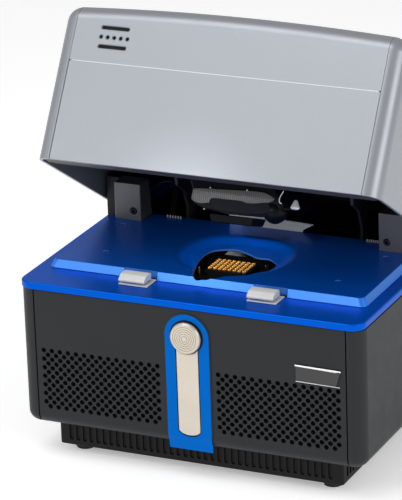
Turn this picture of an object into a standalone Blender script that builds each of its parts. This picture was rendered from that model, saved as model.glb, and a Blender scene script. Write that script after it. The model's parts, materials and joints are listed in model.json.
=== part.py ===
"""Benchtop real-time thermal cycler, lid raised.

Frame of the model: +X to the right, +Y to the back, +Z up, metres.
All sizes below are in the unit's own frame, whose y = 0 is the face of the front panel and
whose z = 0 is the table.  The empty "unit" shifts that frame so that the model's origin is
at the bottom centre of its bounding box with the lid raised.
The lid and the optics head are drawn in their closed place and are raised by their empties.
"""
import math

import bmesh
import bpy
from mathutils import Matrix, Vector

# ---------------------------------------------------------------- driving dimensions
GAP = 0.0003                 # clearance between touching pieces
SKIN = 0.003                 # wall of the moulded covers
HALF_WIDTH = 0.1725          # casing, outside
DEPTH = 0.308                # casing, front panel to rear panel
SEAM = 0.157                 # seam between a side cover and the front panel
CORNER = 0.0155              # radius of the upright corners
BODY_BOTTOM = 0.0335
BODY_TOP = 0.1695
BODY_EDGE = 0.011            # radius under the casing
RIM_BOTTOM = 0.1700
RIM_TOP = 0.1772
RIM_OVERHANG = 0.002
DECK_BOTTOM = 0.1776
DECK_TOP = 0.1850
DECK_HALF = 0.161
DECK_FRONT = 0.0408
DECK_REAR = 0.189
DISH_FLOOR = 0.1802
TRAY_HALF = 0.1456
TRAY_FRONT = 0.017
TRAY_REAR = 0.291
FOOT_HEIGHT = 0.0082
FOOT_RADIUS = 0.0095
FOOT_X = 0.128
FOOT_Y = (0.036, 0.272)

HINGE = Vector((0.0, 0.2075, 0.154))
LID_OPEN = math.radians(32.0)
HEAD_OPEN = math.radians(20.0)
LID_BOTTOM = 0.1779
LID_TOP = 0.3285
LID_CROWN = 0.006            # rise of the lid's top towards its middle
LID_DEPTH = 0.310
LID_EDGE = 0.0150            # radius round the lid's top
LID_GROOVE = 0.2745          # parting line across the lid's front
LID_CUT_Y = 0.195            # where the lid's lower edge starts to rise
LID_CUT_Z = 0.2515           # height of that edge at the lid's back

BLOCK_Y = 0.104              # centre of the sample block
BLOCK_HALF = (0.0215, 0.0148)
BLOCK_TOP = 0.1765
WELLS = (8, 6)
WELL_PITCH = (0.0050, 0.0044)

POST_IN = 0.1240
POST_OUT = 0.1520
POST_FRONT = 0.167
POST_TOP = 0.222
SHAFT_RADIUS = 0.005
LID_ARM_X = (0.108, 0.114)
HEAD_ARM_X = (0.0900, 0.0930)
HEAD_X = 0.006               # the head sits a little to the right of the block
HEAD_HALF = 0.049
HEAD_Y = (0.080, 0.158)
HEAD_BOTTOM = 0.1828
HEAD_SPLIT = 0.222
HEAD_TOP = 0.262

TRIM_HALF = 0.0230
BUTTON_Z = 0.143
BUTTON_RADIUS = 0.0152
BAR_HALF = 0.0116
BAR_BOTTOM = 0.0445
CATCH_X = 0.065
CATCH_HALF = 0.0132

FAN_Z = 0.087
FAN_HALF = 0.046
FAN_Y = (0.279, 0.3042)
INLET_X = -0.105
INLET_Z = 0.075
USB_X = 0.098
USB_Z = 0.060

COLLECTION = bpy.context.scene.collection


# ---------------------------------------------------------------- outlines
def arc(centre_u, centre_v, radius, start, end, steps):
    """Points of an arc, angles in degrees, both ends included."""
    points = []
    for i in range(steps + 1):
        angle = math.radians(start + (end - start) * i / steps)
        points.append((centre_u + radius * math.cos(angle), centre_v + radius * math.sin(angle)))
    return points


def circle(centre_u, centre_v, radius, steps):
    return arc(centre_u, centre_v, radius, 0, 360, steps)[:-1]


def rounded_rectangle(low_u, low_v, high_u, high_v, radius, steps=4):
    corners = (
        (high_u - radius, low_v + radius, -90),
        (high_u - radius, high_v - radius, 0),
        (low_u + radius, high_v - radius, 90),
        (low_u + radius, low_v + radius, 180),
    )
    points = []
    for u, v, start in corners:
        points.extend(arc(u, v, radius, start, start + 90, steps))
    return points


def smooth_loop(points, steps):
    """A closed Catmull-Rom curve through hand-set points."""
    count = len(points)
    result = []
    for i in range(count):
        p0, p1, p2, p3 = (points[(i + k - 1) % count] for k in range(4))
        for s in range(steps):
            t = s / steps
            result.append(tuple(
                0.5 * (2 * p1[a] + (p2[a] - p0[a]) * t
                       + (2 * p0[a] - 5 * p1[a] + 4 * p2[a] - p3[a]) * t * t
                       + (3 * p1[a] - p0[a] - 3 * p2[a] + p3[a]) * t ** 3)
                for a in range(2)))
    return result


# ---------------------------------------------------------------- meshes
ORDER = {
    "X": lambda u, v, w: (w, u, v),
    "Y": lambda u, v, w: (u, w, v),
    "Z": lambda u, v, w: (u, v, w),
}


def loft(rings, close=False):
    """Skin rings that have the same number of points; caps at both ends unless closed."""
    mesh = bmesh.new()
    loops = [[mesh.verts.new(point) for point in ring] for ring in rings]
    pairs = list(zip(loops, loops[1:]))
    if close:
        pairs.append((loops[-1], loops[0]))
    else:
        mesh.faces.new(loops[0])
        mesh.faces.new(loops[-1])
    for first, second in pairs:
        for i in range(len(first)):
            j = (i + 1) % len(first)
            mesh.faces.new((first[i], first[j], second[j], second[i]))
    bmesh.ops.recalc_face_normals(mesh, faces=mesh.faces)
    return mesh


def prism(outline, axis, low, high):
    """A flat outline, in the two other axes, drawn out along an axis."""
    place = ORDER[axis]
    return loft([[place(u, v, w) for u, v in outline] for w in (low, high)])


def block(low, high, bevel=0.0, segments=2):
    mesh = prism([(low[0], low[1]), (high[0], low[1]), (high[0], high[1]), (low[0], high[1])],
                 "Z", low[2], high[2])
    if bevel:
        bmesh.ops.bevel(mesh, geom=list(mesh.edges), offset=bevel, segments=segments,
                        profile=0.5, affect="EDGES")
    return mesh


def turned(profile, axis, centre, steps=24):
    """A closed (radius, height) profile turned about an axis; radius 0 becomes one point."""
    place = ORDER[axis]
    mesh = bmesh.new()
    rings = []
    for radius, height in profile:
        if radius < 1e-7:
            rings.append([mesh.verts.new(place(0, 0, height))] * steps)
        else:
            rings.append([mesh.verts.new(place(radius * math.cos(2 * math.pi * i / steps),
                                               radius * math.sin(2 * math.pi * i / steps),
                                               height)) for i in range(steps)])
    for a in range(len(rings)):
        first, second = rings[a], rings[(a + 1) % len(rings)]
        for i in range(steps):
            j = (i + 1) % steps
            corners = list(dict.fromkeys((first[i], first[j], second[j], second[i])))
            if len(corners) > 2:
                mesh.faces.new(corners)
    mesh.transform(Matrix.Translation(Vector(centre)))
    bmesh.ops.recalc_face_normals(mesh, faces=mesh.faces)
    return mesh


def cylinder(axis, centre, radius, low, high, steps=24, chamfer=0.0):
    profile = [(0, low), (radius - chamfer, low), (radius, low + chamfer),
               (radius, high - chamfer), (radius - chamfer, high), (0, high)]
    if not chamfer:
        profile = [(0, low), (radius, low), (radius, high), (0, high)]
    return turned(profile, axis, centre, steps)


def merged(pieces):
    """One mesh that holds several separate ones."""
    whole = bmesh.new()
    for piece in pieces:
        data = bpy.data.meshes.new("piece")
        piece.to_mesh(data)
        piece.free()
        whole.from_mesh(data)
        bpy.data.meshes.remove(data)
    return whole


def casing(low, high, corner, edge, rounded_end, segments=5):
    """A box with round upright corners, and its top or bottom edge rounded too."""
    mesh = block(low, high)
    upright = [e for e in mesh.edges if abs(e.verts[0].co.z - e.verts[1].co.z) > 1e-6]
    bmesh.ops.bevel(mesh, geom=upright, offset=corner, segments=segments, profile=0.5,
                    affect="EDGES")
    level = high[2] if rounded_end == "top" else low[2]
    ring = [e for e in mesh.edges if all(abs(v.co.z - level) < 1e-6 for v in e.verts)]
    bmesh.ops.bevel(mesh, geom=ring, offset=edge, segments=segments, profile=0.5,
                    affect="EDGES")
    return mesh


def crown(mesh, base, cuts=10):
    """Lift everything above the base in proportion to a shallow arch across x."""
    for i in range(1, cuts):
        x = -HALF_WIDTH + 2 * HALF_WIDTH * i / cuts
        bmesh.ops.bisect_plane(mesh, geom=mesh.verts[:] + mesh.edges[:] + mesh.faces[:],
                               plane_co=(x, 0, 0), plane_no=(1, 0, 0))
    for vert in mesh.verts:
        if vert.co.z > base:
            vert.co.z += LID_CROWN * (1 - (vert.co.x / HALF_WIDTH) ** 2)


# ---------------------------------------------------------------- objects
class Body:
    """Where pieces hang: the empty they follow, and the point their meshes are drawn from."""

    def __init__(self, empty, origin):
        self.empty = empty
        self.origin = Vector(origin)


def clear_scene():
    for obj in list(bpy.data.objects):
        bpy.data.objects.remove(obj, do_unlink=True)


def add_empty(name, location, parent=None, tilt=0.0):
    empty = bpy.data.objects.new(name, None)
    empty.empty_display_size = 0.02
    empty.location = location
    empty.rotation_euler.x = tilt
    empty.parent = parent
    COLLECTION.objects.link(empty)
    return empty


def paint(name, colour, roughness, metallic=0.0):
    material = bpy.data.materials.new(name)
    material.use_nodes = True
    shader = material.node_tree.nodes["Principled BSDF"]
    shader.inputs["Base Color"].default_value = (*colour, 1.0)
    shader.inputs["Roughness"].default_value = roughness
    shader.inputs["Metallic"].default_value = metallic
    material.diffuse_color = (*colour, 1.0)
    return material


def place_mesh(name, mesh, body, origin=None):
    """Put a mesh, drawn in the unit's frame, on a body with its own origin."""
    pivot = Vector(origin) if origin is not None else body.origin
    mesh.transform(Matrix.Translation(-pivot))
    bmesh.ops.recalc_face_normals(mesh, faces=mesh.faces)
    data = bpy.data.meshes.new(name)
    mesh.to_mesh(data)
    mesh.free()
    obj = bpy.data.objects.new(name, data)
    obj.location = pivot - body.origin
    obj.parent = body.empty
    COLLECTION.objects.link(obj)
    obj["pivot"] = tuple(pivot)
    return obj


def add(name, mesh, material, body, origin=None, sharp=35.0):
    obj = place_mesh(name, mesh, body, origin)
    obj.data.materials.append(material)
    obj.data.shade_smooth()
    obj.data.set_sharp_from_angle(angle=math.radians(sharp))
    return obj


def boolean(target, mesh, body, operation="DIFFERENCE"):
    """Cut, join or keep the common part, with a hidden guide that stays in the file."""
    guide = place_mesh(target.name + "_guide", mesh, body, Vector(target["pivot"]))
    guide.hide_render = True
    guide.display_type = "WIRE"
    step = target.modifiers.new(guide.name, "BOOLEAN")
    step.operation = operation
    step.object = guide
    step.solver = "EXACT"


# ---------------------------------------------------------------- base: casing
def body_outer(grow=0.0):
    return casing((-HALF_WIDTH - grow, -grow, BODY_BOTTOM - grow),
                  (HALF_WIDTH + grow, DEPTH + grow, BODY_TOP),
                  CORNER + grow, BODY_EDGE + grow, "bottom")


def body_inner():
    inner = casing((-HALF_WIDTH + SKIN, SKIN, BODY_BOTTOM + SKIN),
                   (HALF_WIDTH - SKIN, DEPTH - SKIN, BODY_TOP + 0.01),
                   CORNER - SKIN, BODY_EDGE - SKIN, "bottom")
    return inner


def make_base_casing(base, colours):
    tray_wall = 0.0025
    tray = add("base_tray", block((-TRAY_HALF, TRAY_FRONT, FOOT_HEIGHT + GAP),
                                  (TRAY_HALF, TRAY_REAR, BODY_BOTTOM - GAP), 0.0015),
               colours["black_plastic"], base)
    boolean(tray, block((-TRAY_HALF + tray_wall, TRAY_FRONT + tray_wall, FOOT_HEIGHT + 0.003),
                        (TRAY_HALF - tray_wall, TRAY_REAR - tray_wall, BODY_BOTTOM + 0.01)), base)
    for end, y in zip(("front", "rear"), FOOT_Y):
        for side, sign in (("left", -1), ("right", 1)):
            add(f"foot_{end}_{side}",
                cylinder("Z", (sign * FOOT_X, y, 0), FOOT_RADIUS, 0, FOOT_HEIGHT, 20, 0.0015),
                colours["rubber"], base)
    add("base_plate", block((-SEAM + GAP, TRAY_FRONT + GAP, BODY_BOTTOM),
                            (SEAM - GAP, DEPTH - SKIN - GAP, BODY_BOTTOM + 0.002)),
        colours["steel"], base)

    for side, sign in (("left", -1), ("right", 1)):
        cover = add(f"side_cover_{side}", body_outer(), colours["graphite"], base)
        boolean(cover, body_inner(), base)
        near, far = sorted((sign * (SEAM + GAP), sign * (HALF_WIDTH + 0.01)))
        boolean(cover, block((near, -0.01, 0.02), (far, DEPTH + 0.01, 0.2)), base, "INTERSECT")

    front = add("front_panel", body_outer(), colours["graphite"], base)
    boolean(front, body_inner(), base)
    boolean(front, block((-SEAM, -0.01, 0.02), (SEAM, TRAY_FRONT, 0.2)), base, "INTERSECT")
    boolean(front, cylinder("Y", (0, 0, BUTTON_Z), 0.0060, -0.01, 0.01, 16), base)

    panel_low, panel_high = BODY_BOTTOM + GAP, BODY_TOP
    rear = add("rear_panel", block((-SEAM, DEPTH - SKIN, panel_low), (SEAM, DEPTH, panel_high)),
               colours["graphite"], base)
    boolean(rear, cylinder("Y", (0, 0, FAN_Z), 0.042, DEPTH - 0.02, DEPTH + 0.01, 24), base)
    boolean(rear, block((INLET_X - 0.0275, DEPTH - 0.02, INLET_Z - 0.0125),
                        (INLET_X + 0.0275, DEPTH + 0.01, INLET_Z + 0.0125)), base)
    boolean(rear, block((USB_X - 0.0065, DEPTH - 0.02, USB_Z - 0.006),
                        (USB_X + 0.0065, DEPTH + 0.01, USB_Z + 0.006)), base)


def make_deck(base, colours):
    over = RIM_OVERHANG
    rim = add("rim_bezel",
              prism(rounded_rectangle(-HALF_WIDTH - 0.001, -over, HALF_WIDTH + 0.001, DEPTH,
                                      CORNER, 5), "Z", RIM_BOTTOM, RIM_TOP),
              colours["blue"], base)
    boolean(rim, prism(rounded_rectangle(-0.1545, 0.0428, 0.1545, 0.301, 0.006, 3),
                       "Z", RIM_BOTTOM - 0.01, RIM_TOP + 0.01), base)

    notch_step = POST_FRONT + 0.0137
    half = [(DECK_HALF - 0.006, DECK_FRONT), (DECK_HALF - 0.0018, DECK_FRONT + 0.0018),
            (DECK_HALF, DECK_FRONT + 0.006), (DECK_HALF, notch_step),
            (POST_OUT + GAP, notch_step), (POST_OUT + GAP, POST_FRONT - GAP),
            (POST_IN - GAP, POST_FRONT - GAP), (POST_IN - GAP, DECK_REAR)]
    outline = half + [(-x, y) for x, y in reversed(half)]
    deck = add("deck_cover", prism(outline, "Z", DECK_BOTTOM, DECK_TOP), colours["blue"], base)

    centre = (0.001, 0.113)
    dish = [(centre[0] + 0.058 * u, centre[1] + 0.050 * v) for u, v in superellipse(2.6, 36)]
    rings = []
    for scale, z in ((1.04, DECK_TOP + 0.0007), (0.98, DECK_TOP - 0.0006),
                     (0.88, DISH_FLOOR + 0.0010), (0.78, DISH_FLOOR)):
        rings.append([(centre[0] + (x - centre[0]) * scale, centre[1] + (y - centre[1]) * scale, z)
                      for x, y in dish])
    boolean(deck, loft(rings), base)
    opening = smooth_loop([(-0.014, 0.046), (-0.024, 0.072), (-0.0325, 0.104), (-0.030, 0.128),
                           (-0.012, 0.138), (0.005, 0.132), (0.017, 0.125), (0.030, 0.1245),
                           (0.042, 0.113), (0.043, 0.093), (0.035, 0.066), (0.016, 0.055),
                           (0.009, 0.046), (-0.002, 0.0435)], 3)
    boolean(deck, prism(opening, "Z", DECK_BOTTOM - 0.01, DECK_TOP + 0.01), base)
    for sign in (-1, 1):
        low, high = sorted((sign * 0.0485, sign * 0.0835))
        boolean(deck, prism(rounded_rectangle(low, DECK_FRONT - 0.006, high,
                                              DECK_FRONT + 0.0045, 0.0025, 3),
                            "Z", DECK_BOTTOM - 0.01, DECK_TOP + 0.01), base)

    spots = (("front_left", -0.119, 0.078), ("front_right", 0.119, 0.078),
             ("rear_left", -0.137, 0.152), ("rear_right", 0.137, 0.152))
    for where, x, y in spots:
        boolean(deck, cylinder("Z", (x, y, 0), 0.0029, DECK_TOP - 0.003, DECK_TOP + 0.01, 12), base)
        screw = add(f"deck_screw_{where}",
                    cylinder("Z", (x, y, 0), 0.0026, DECK_TOP - 0.0027, DECK_TOP - 0.0001, 12),
                    colours["blue_screw"], base)
        cross_slot(screw, base, (x, y, DECK_TOP))


def superellipse(power, steps):
    points = []
    for i in range(steps):
        angle = 2 * math.pi * i / steps
        c, s = math.cos(angle), math.sin(angle)
        points.append((math.copysign(abs(c) ** (2 / power), c),
                       math.copysign(abs(s) ** (2 / power), s)))
    return points


def cross_slot(screw, body, top):
    """Two crossed slots in a screw head that faces up."""
    x, y, z = top
    arm, half = 0.0018, 0.00035
    outline = [(-half, -arm), (half, -arm), (half, -half), (arm, -half), (arm, half), (half, half),
               (half, arm), (-half, arm), (-half, half), (-arm, half), (-arm, -half), (-half, -half)]
    boolean(screw, prism([(x + u, y + v) for u, v in outline], "Z", z - 0.0012, z + 0.01), body)


# ---------------------------------------------------------------- base: front fittings
def make_front_fittings(base, colours):
    trim = add("centre_trim", body_outer(0.0020), colours["blue"], base)
    boolean(trim, body_outer(GAP), base)
    arch = arc(0, BUTTON_Z, TRIM_HALF, 0, 180, 16) + [(-TRIM_HALF, 0.02), (TRIM_HALF, 0.02)]
    boolean(trim, prism(arch, "Y", -0.01, TRAY_FRONT - 0.002), base, "INTERSECT")
    window_half, window_radius = 0.0126, 0.0180
    lip = math.degrees(math.acos(window_half / window_radius))
    window = arc(0, BUTTON_Z, window_radius, -lip, 180 + lip, 20)
    window += arc(0, BAR_BOTTOM + 0.0065, window_half, 180, 360, 10)
    window = [(u, v if v > BAR_BOTTOM + 0.0065 else BAR_BOTTOM + 0.0065
               - (BAR_BOTTOM + 0.0065 - v) * 0.62) for u, v in window]
    boolean(trim, prism(window, "Y", -0.01, 0.002), base)

    low_z = BAR_BOTTOM + 0.006
    bottom = [(u, low_z - (low_z - v) * 0.5) for u, v in arc(0, low_z, BAR_HALF, 180, 360, 10)]
    reach = BUTTON_RADIUS + 0.0008
    lip = math.degrees(math.acos(BAR_HALF / reach))
    outline = bottom + arc(0, BUTTON_Z, reach, -lip, -180 + lip, 10)
    rings = []
    for inset, y in ((0.0, -GAP), (0.0, -0.0016), (0.0012, -0.0024), (0.0030, -0.0028)):
        scale = (BAR_HALF - inset) / BAR_HALF
        ring = []
        for u, v in outline:
            if v > low_z + 0.001:
                v = BUTTON_Z - math.sqrt((reach + inset) ** 2 - (u * scale) ** 2)
            else:
                v += inset * 0.6
            ring.append((u * scale, y, v))
        rings.append(ring)
    add("status_bar", loft(rings), colours["champagne"], base)

    face, back = -0.0078, -0.0026
    profile = [(0, 0.007), (0.0040, 0.007), (0.0040, back), (BUTTON_RADIUS - 0.0006, back),
               (BUTTON_RADIUS, back - 0.0006), (BUTTON_RADIUS, face + 0.0014),
               (BUTTON_RADIUS - 0.0012, face), (BUTTON_RADIUS - 0.0024, face)]
    radius = BUTTON_RADIUS - 0.0026
    while radius > 0.003:
        profile += [(radius, face + 0.0005), (radius - 0.0011, face + 0.0005),
                    (radius - 0.0013, face), (radius - 0.0024, face)]
        radius -= 0.0026
    profile.append((0, face))
    add("front_button", turned(profile, "Y", (0, 0, BUTTON_Z), 28), colours["champagne"], base,
        (0, 0, BUTTON_Z))

    badge = [(0.1085, 0.1152), (0.1525, 0.1146), (0.1505, 0.1300), (0.1085, 0.1304)]
    add("badge_plate", prism(badge, "Y", -0.0013, -GAP), colours["bright_metal"], base)

    for side, sign in (("left", -1), ("right", 1)):
        x = sign * CATCH_X
        add(f"catch_plate_{side}",
            block((x - CATCH_HALF - 0.0008, 0.0195, RIM_TOP + GAP),
                  (x + CATCH_HALF + 0.0024, 0.0412, RIM_TOP + 0.0016), 0.0004, 1),
            colours["cream"], base)
        profile = [(0.0205, 0.1805), (0.0205, 0.1828), (0.0262, 0.1862), (0.0352, 0.1868),
                   (0.0368, 0.1856), (0.0368, 0.1805)]
        hood = prism(profile, "X", x - CATCH_HALF, x + CATCH_HALF)
        bmesh.ops.bevel(hood, geom=list(hood.edges), offset=0.0004, segments=1, profile=0.5,
                        affect="EDGES")
        add(f"lid_catch_{side}", hood, colours["cream"], base, (x, 0.029, 0.1805))


# ---------------------------------------------------------------- base: sample block and cooling
def make_thermal_core(base, colours):
    hx, hy = BLOCK_HALF
    core = add("thermal_block", block((-hx, BLOCK_Y - hy, 0.1635), (hx, BLOCK_Y + hy, BLOCK_TOP),
                                      0.0008, 1), colours["gold"], base)
    wells = []
    for i in range(WELLS[0]):
        for j in range(WELLS[1]):
            x = (i - (WELLS[0] - 1) / 2) * WELL_PITCH[0]
            y = BLOCK_Y + (j - (WELLS[1] - 1) / 2) * WELL_PITCH[1]
            lower = [(x + u, y + v, BLOCK_TOP - 0.006) for u, v in circle(0, 0, 0.0008, 6)]
            upper = [(x + u, y + v, BLOCK_TOP + 0.001) for u, v in circle(0, 0, 0.0019, 6)]
            wells.append(loft([lower, upper]))
    boolean(core, merged(wells), base)

    frame = add("well_frame", prism(rounded_rectangle(-0.052, 0.040, 0.052, 0.146, 0.006, 3),
                                    "Z", 0.1662, 0.1697), colours["black_plastic"], base)
    boolean(frame, block((-hx - 0.0008, BLOCK_Y - hy - 0.0008, 0.16),
                         (hx + 0.0008, BLOCK_Y + hy + 0.0008, 0.18)), base)
    add("peltier_module", block((-0.022, BLOCK_Y - 0.020, 0.1594), (0.022, BLOCK_Y + 0.020, 0.1632)),
        colours["ceramic"], base)

    fins, pitch, thick = 13, 0.008, 0.0022
    top, root, tip = 0.1591, 0.1500, 0.1050
    comb = [(0.0505, top), (-0.0505, top), (-0.0505, root)]
    for i in range(fins):
        x = (i - (fins - 1) / 2) * pitch
        comb += [(x - thick / 2, root), (x - thick / 2, tip), (x + thick / 2, tip),
                 (x + thick / 2, root)]
    comb.append((0.0505, root))
    add("heat_sink", prism(comb, "Y", 0.062, 0.146), colours["aluminium"], base)

    wall = 0.0015
    leg = 0.0522
    rim = HINGE.z - 0.0075
    floor = BODY_BOTTOM + 0.0023
    duct = [(-leg - wall, floor), (leg + wall, floor), (leg + wall, rim), (leg, rim),
            (leg, floor + wall), (-leg, floor + wall), (-leg, rim), (-leg - wall, rim)]
    add("air_duct", prism(duct, "Y", 0.060, FAN_Y[0] - 0.001), colours["steel"], base)


def make_fan(base, colours):
    low, high = FAN_Y
    housing = add("fan_housing",
                  prism(rounded_rectangle(-FAN_HALF, FAN_Z - FAN_HALF, FAN_HALF, FAN_Z + FAN_HALF,
                                          0.005, 3), "Y", low, high),
                  colours["black_plastic"], base)
    boolean(housing, cylinder("Y", (0, 0, FAN_Z), 0.0435, low - 0.01, high - 0.0025, 28), base)
    # three struts across the outlet carry the hub
    sectors = []
    for k in range(3):
        start = 90 + 120 * k
        sector = arc(0, FAN_Z, 0.0415, start + 7, start + 113, 8)
        sector += arc(0, FAN_Z, 0.0170, start + 100, start + 20, 4)
        sectors.append(prism(sector, "Y", high - 0.01, high + 0.01))
    boolean(housing, merged(sectors), base)

    rotor = add("fan_rotor", cylinder("Y", (0, 0, FAN_Z), 0.0165, low + 0.002, high - 0.004, 20,
                                      0.001), colours["black_plastic"], base, (0, 0.29, FAN_Z))
    blades = []
    for k in range(7):
        turn = Matrix.Rotation(2 * math.pi * k / 7, 4, "Y")
        section = [(-0.0056, low + 0.0045), (0.0042, high - 0.0065), (0.0056, high - 0.0065),
                   (-0.0042, low + 0.0045)]
        blade = loft([[(u, y, radius) for u, y in section] for radius in (0.0125, 0.0415)])
        blade.transform(Matrix.Translation((0, 0, FAN_Z)) @ turn)
        blades.append(blade)
    boolean(rotor, merged(blades), base, "UNION")

    guard_low, guard_high = DEPTH + GAP, DEPTH + 0.0016
    bars = [(-0.0485, -0.0016), (-0.0016, -0.0016), (-0.0016, -0.0485), (0.0016, -0.0485),
            (0.0016, -0.0016), (0.0485, -0.0016), (0.0485, 0.0016), (0.0016, 0.0016),
            (0.0016, 0.0485), (-0.0016, 0.0485), (-0.0016, 0.0016), (-0.0485, 0.0016)]
    guard = add("fan_guard", prism([(u, v + FAN_Z) for u, v in bars], "Y", guard_low, guard_high),
                colours["bright_metal"], base)
    for radius in (0.045, 0.034, 0.023, 0.012):
        ring = turned([(radius - 0.001, guard_low), (radius + 0.001, guard_low),
                       (radius + 0.001, guard_high), (radius - 0.001, guard_high)],
                      "Y", (0, 0, FAN_Z), 24)
        boolean(guard, ring, base, "UNION")


def make_electronics(base, colours):
    floor = BODY_BOTTOM + 0.0023
    add("power_supply", block((-0.120, 0.100, floor), (-0.057, 0.262, floor + 0.042), 0.001, 1),
        colours["aluminium"], base)
    board = add("main_board", block((0.060, 0.050, floor), (0.120, 0.250, floor + 0.0016)),
                colours["board"], base)
    for low, high in (((0.066, 0.112), (0.094, 0.140)), ((0.075, 0.150), (0.101, 0.176)),
                      ((0.066, 0.200), (0.086, 0.240)), ((0.095, 0.070), (0.113, 0.100))):
        boolean(board, block((*low, floor + 0.001), (*high, floor + 0.006)), base, "UNION")

    front, flange = DEPTH - 0.024, DEPTH + 0.0022
    inlet = add("power_inlet", block((INLET_X - 0.030, DEPTH + GAP, INLET_Z - 0.0155),
                                     (INLET_X + 0.030, flange, INLET_Z + 0.0155), 0.0006, 1),
                colours["black_plastic"], base)
    boolean(inlet, block((INLET_X - 0.0268, front, INLET_Z - 0.0118),
                         (INLET_X + 0.0268, DEPTH + 0.001, INLET_Z + 0.0118)), base, "UNION")
    socket = [(-0.0255, -0.0085), (-0.0015, -0.0085), (-0.0015, 0.0045), (-0.0055, 0.0085),
              (-0.0215, 0.0085), (-0.0255, 0.0045)]
    boolean(inlet, prism([(INLET_X + u, INLET_Z + v) for u, v in socket], "Y",
                         DEPTH - 0.016, DEPTH + 0.02), base)
    for u, v in ((-0.0205, -0.002), (-0.0065, -0.002), (-0.0135, 0.002)):
        boolean(inlet, block((INLET_X + u - 0.001, DEPTH - 0.018, INLET_Z + v - 0.002),
                             (INLET_X + u + 0.001, DEPTH - 0.003, INLET_Z + v + 0.002)),
                base, "UNION")
    boolean(inlet, block((INLET_X + 0.0045, DEPTH - 0.010, INLET_Z - 0.0105),
                         (INLET_X + 0.0255, DEPTH + 0.02, INLET_Z + 0.0105)), base)
    pivot = Vector((INLET_X + 0.015, DEPTH - 0.0035, INLET_Z))
    rocker = [(-0.0050, -0.0030), (0.0028, -0.0097), (0.0048, -0.0095), (0.0034, -0.0002),
              (0.0066, 0.0090), (0.0046, 0.0096), (-0.0050, 0.0030)]
    add("power_switch", prism([(pivot.y + u, pivot.z + v) for u, v in rocker], "X",
                              pivot.x - 0.0098, pivot.x + 0.0098),
        colours["black_plastic"], base, pivot)

    usb = add("usb_socket", block((USB_X - 0.006, DEPTH - 0.018, USB_Z - 0.0055),
                                  (USB_X + 0.006, DEPTH + 0.0006, USB_Z + 0.0055)),
              colours["bright_metal"], base)
    boolean(usb, block((USB_X - 0.0045, DEPTH - 0.012, USB_Z - 0.0042),
                       (USB_X + 0.0045, DEPTH + 0.01, USB_Z + 0.0042)), base)


# ---------------------------------------------------------------- base: hinge posts and rear cover
def make_hinge_supports(base, colours):
    foot = 0.0365
    for side, sign in (("left", -1), ("right", 1)):
        low, high = sorted((sign * POST_IN, sign * POST_OUT))
        outline = [(POST_FRONT, foot), (POST_FRONT, POST_TOP), (DECK_REAR - 0.001, POST_TOP),
                   (DECK_REAR + 0.004, 0.182), (0.222, 0.170), (0.222, 0.130),
                   (DECK_REAR, 0.115), (DECK_REAR, foot)]
        post = add(f"hinge_post_{side}", prism(outline, "X", low, high), colours["post"], base)
        boolean(post, cylinder("X", (0, HINGE.y, HINGE.z), 0.0083, low - 0.01, high + 0.01, 20),
                base)
        add(f"hinge_bush_{side}",
            turned([(SHAFT_RADIUS + GAP, low + 0.001), (0.0080, low + 0.001),
                    (0.0080, high - 0.001), (SHAFT_RADIUS + GAP, high - 0.001)],
                   "X", (0, HINGE.y, HINGE.z), 20), colours["bronze"], base)
        x = sign * 0.132
        boolean(post, cylinder("Y", (x, 0, 0.1937), 0.0036, POST_FRONT - 0.01, POST_FRONT + 0.008,
                               16), base)
        screw = add(f"post_screw_{side}",
                    cylinder("Y", (x, 0, 0.1937), 0.0033, POST_FRONT - 0.0004, POST_FRONT + 0.0075,
                             16, 0.0004), colours["dark_steel"], base)
        boolean(screw, cylinder("Y", (x, 0, 0.1937), 0.0017, POST_FRONT - 0.01, POST_FRONT + 0.0025,
                                6), base)

    low, high = RIM_BOTTOM + 0.0005, RIM_TOP - 0.0040
    edge, sheet = DECK_REAR + GAP + 0.0002, 0.0016
    left, right, start = -0.0400, 0.0300, 0.2360
    outline = [(left, edge), (right, edge), (right, start), (0.150, start), (0.150, 0.300),
               (-0.150, 0.300), (-0.150, start), (left, start)]
    floor = add("rear_floor", prism(outline, "Z", low, high), colours["black_plastic"], base)
    baffle = [(left, low), (right, low), (0.0370, 0.1870), (0.0480, 0.1935), (left, 0.1965)]
    boolean(floor, prism(baffle, "Y", edge, edge + sheet), base, "UNION")

    half, front, back, wall = 0.1673, POST_FRONT + 0.014, 0.3050, 0.003
    flange = POST_OUT + 0.0012
    radius = 0.013
    right = [(flange, front), (half, front)]
    right += arc(half - radius, back - radius, radius, 0, 90, 4)
    inner = arc(half - radius, back - radius, radius - wall, 90, 0, 4)
    inner += [(half - wall, front + wall), (flange, front + wall)]
    outline = right + [(-x, y) for x, y in reversed(right)]
    outline += [(-x, y) for x, y in reversed(inner)] + inner
    cover = add("rear_cover", prism(outline, "Z", RIM_TOP + GAP, 0.262), colours["rear_plastic"],
                base)
    slope = [(front - 0.01, POST_TOP), (front + 0.012, POST_TOP), (back + 0.01, 0.258),
             (back + 0.01, 0.28), (front - 0.01, 0.28)]
    boolean(cover, prism(slope, "X", -0.2, 0.2), base)


# ---------------------------------------------------------------- lid
def lid_outer():
    mesh = casing((-HALF_WIDTH, 0, LID_BOTTOM), (HALF_WIDTH, LID_DEPTH, LID_TOP), CORNER, LID_EDGE,
                  "top")
    crown(mesh, LID_GROOVE + 0.01)
    return mesh


def lid_inner():
    mesh = casing((-HALF_WIDTH + SKIN, SKIN, LID_BOTTOM - 0.02),
                  (HALF_WIDTH - SKIN, LID_DEPTH - SKIN, LID_TOP - SKIN),
                  CORNER - SKIN, LID_EDGE - SKIN, "top")
    crown(mesh, LID_GROOVE + 0.01)
    return mesh


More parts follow.
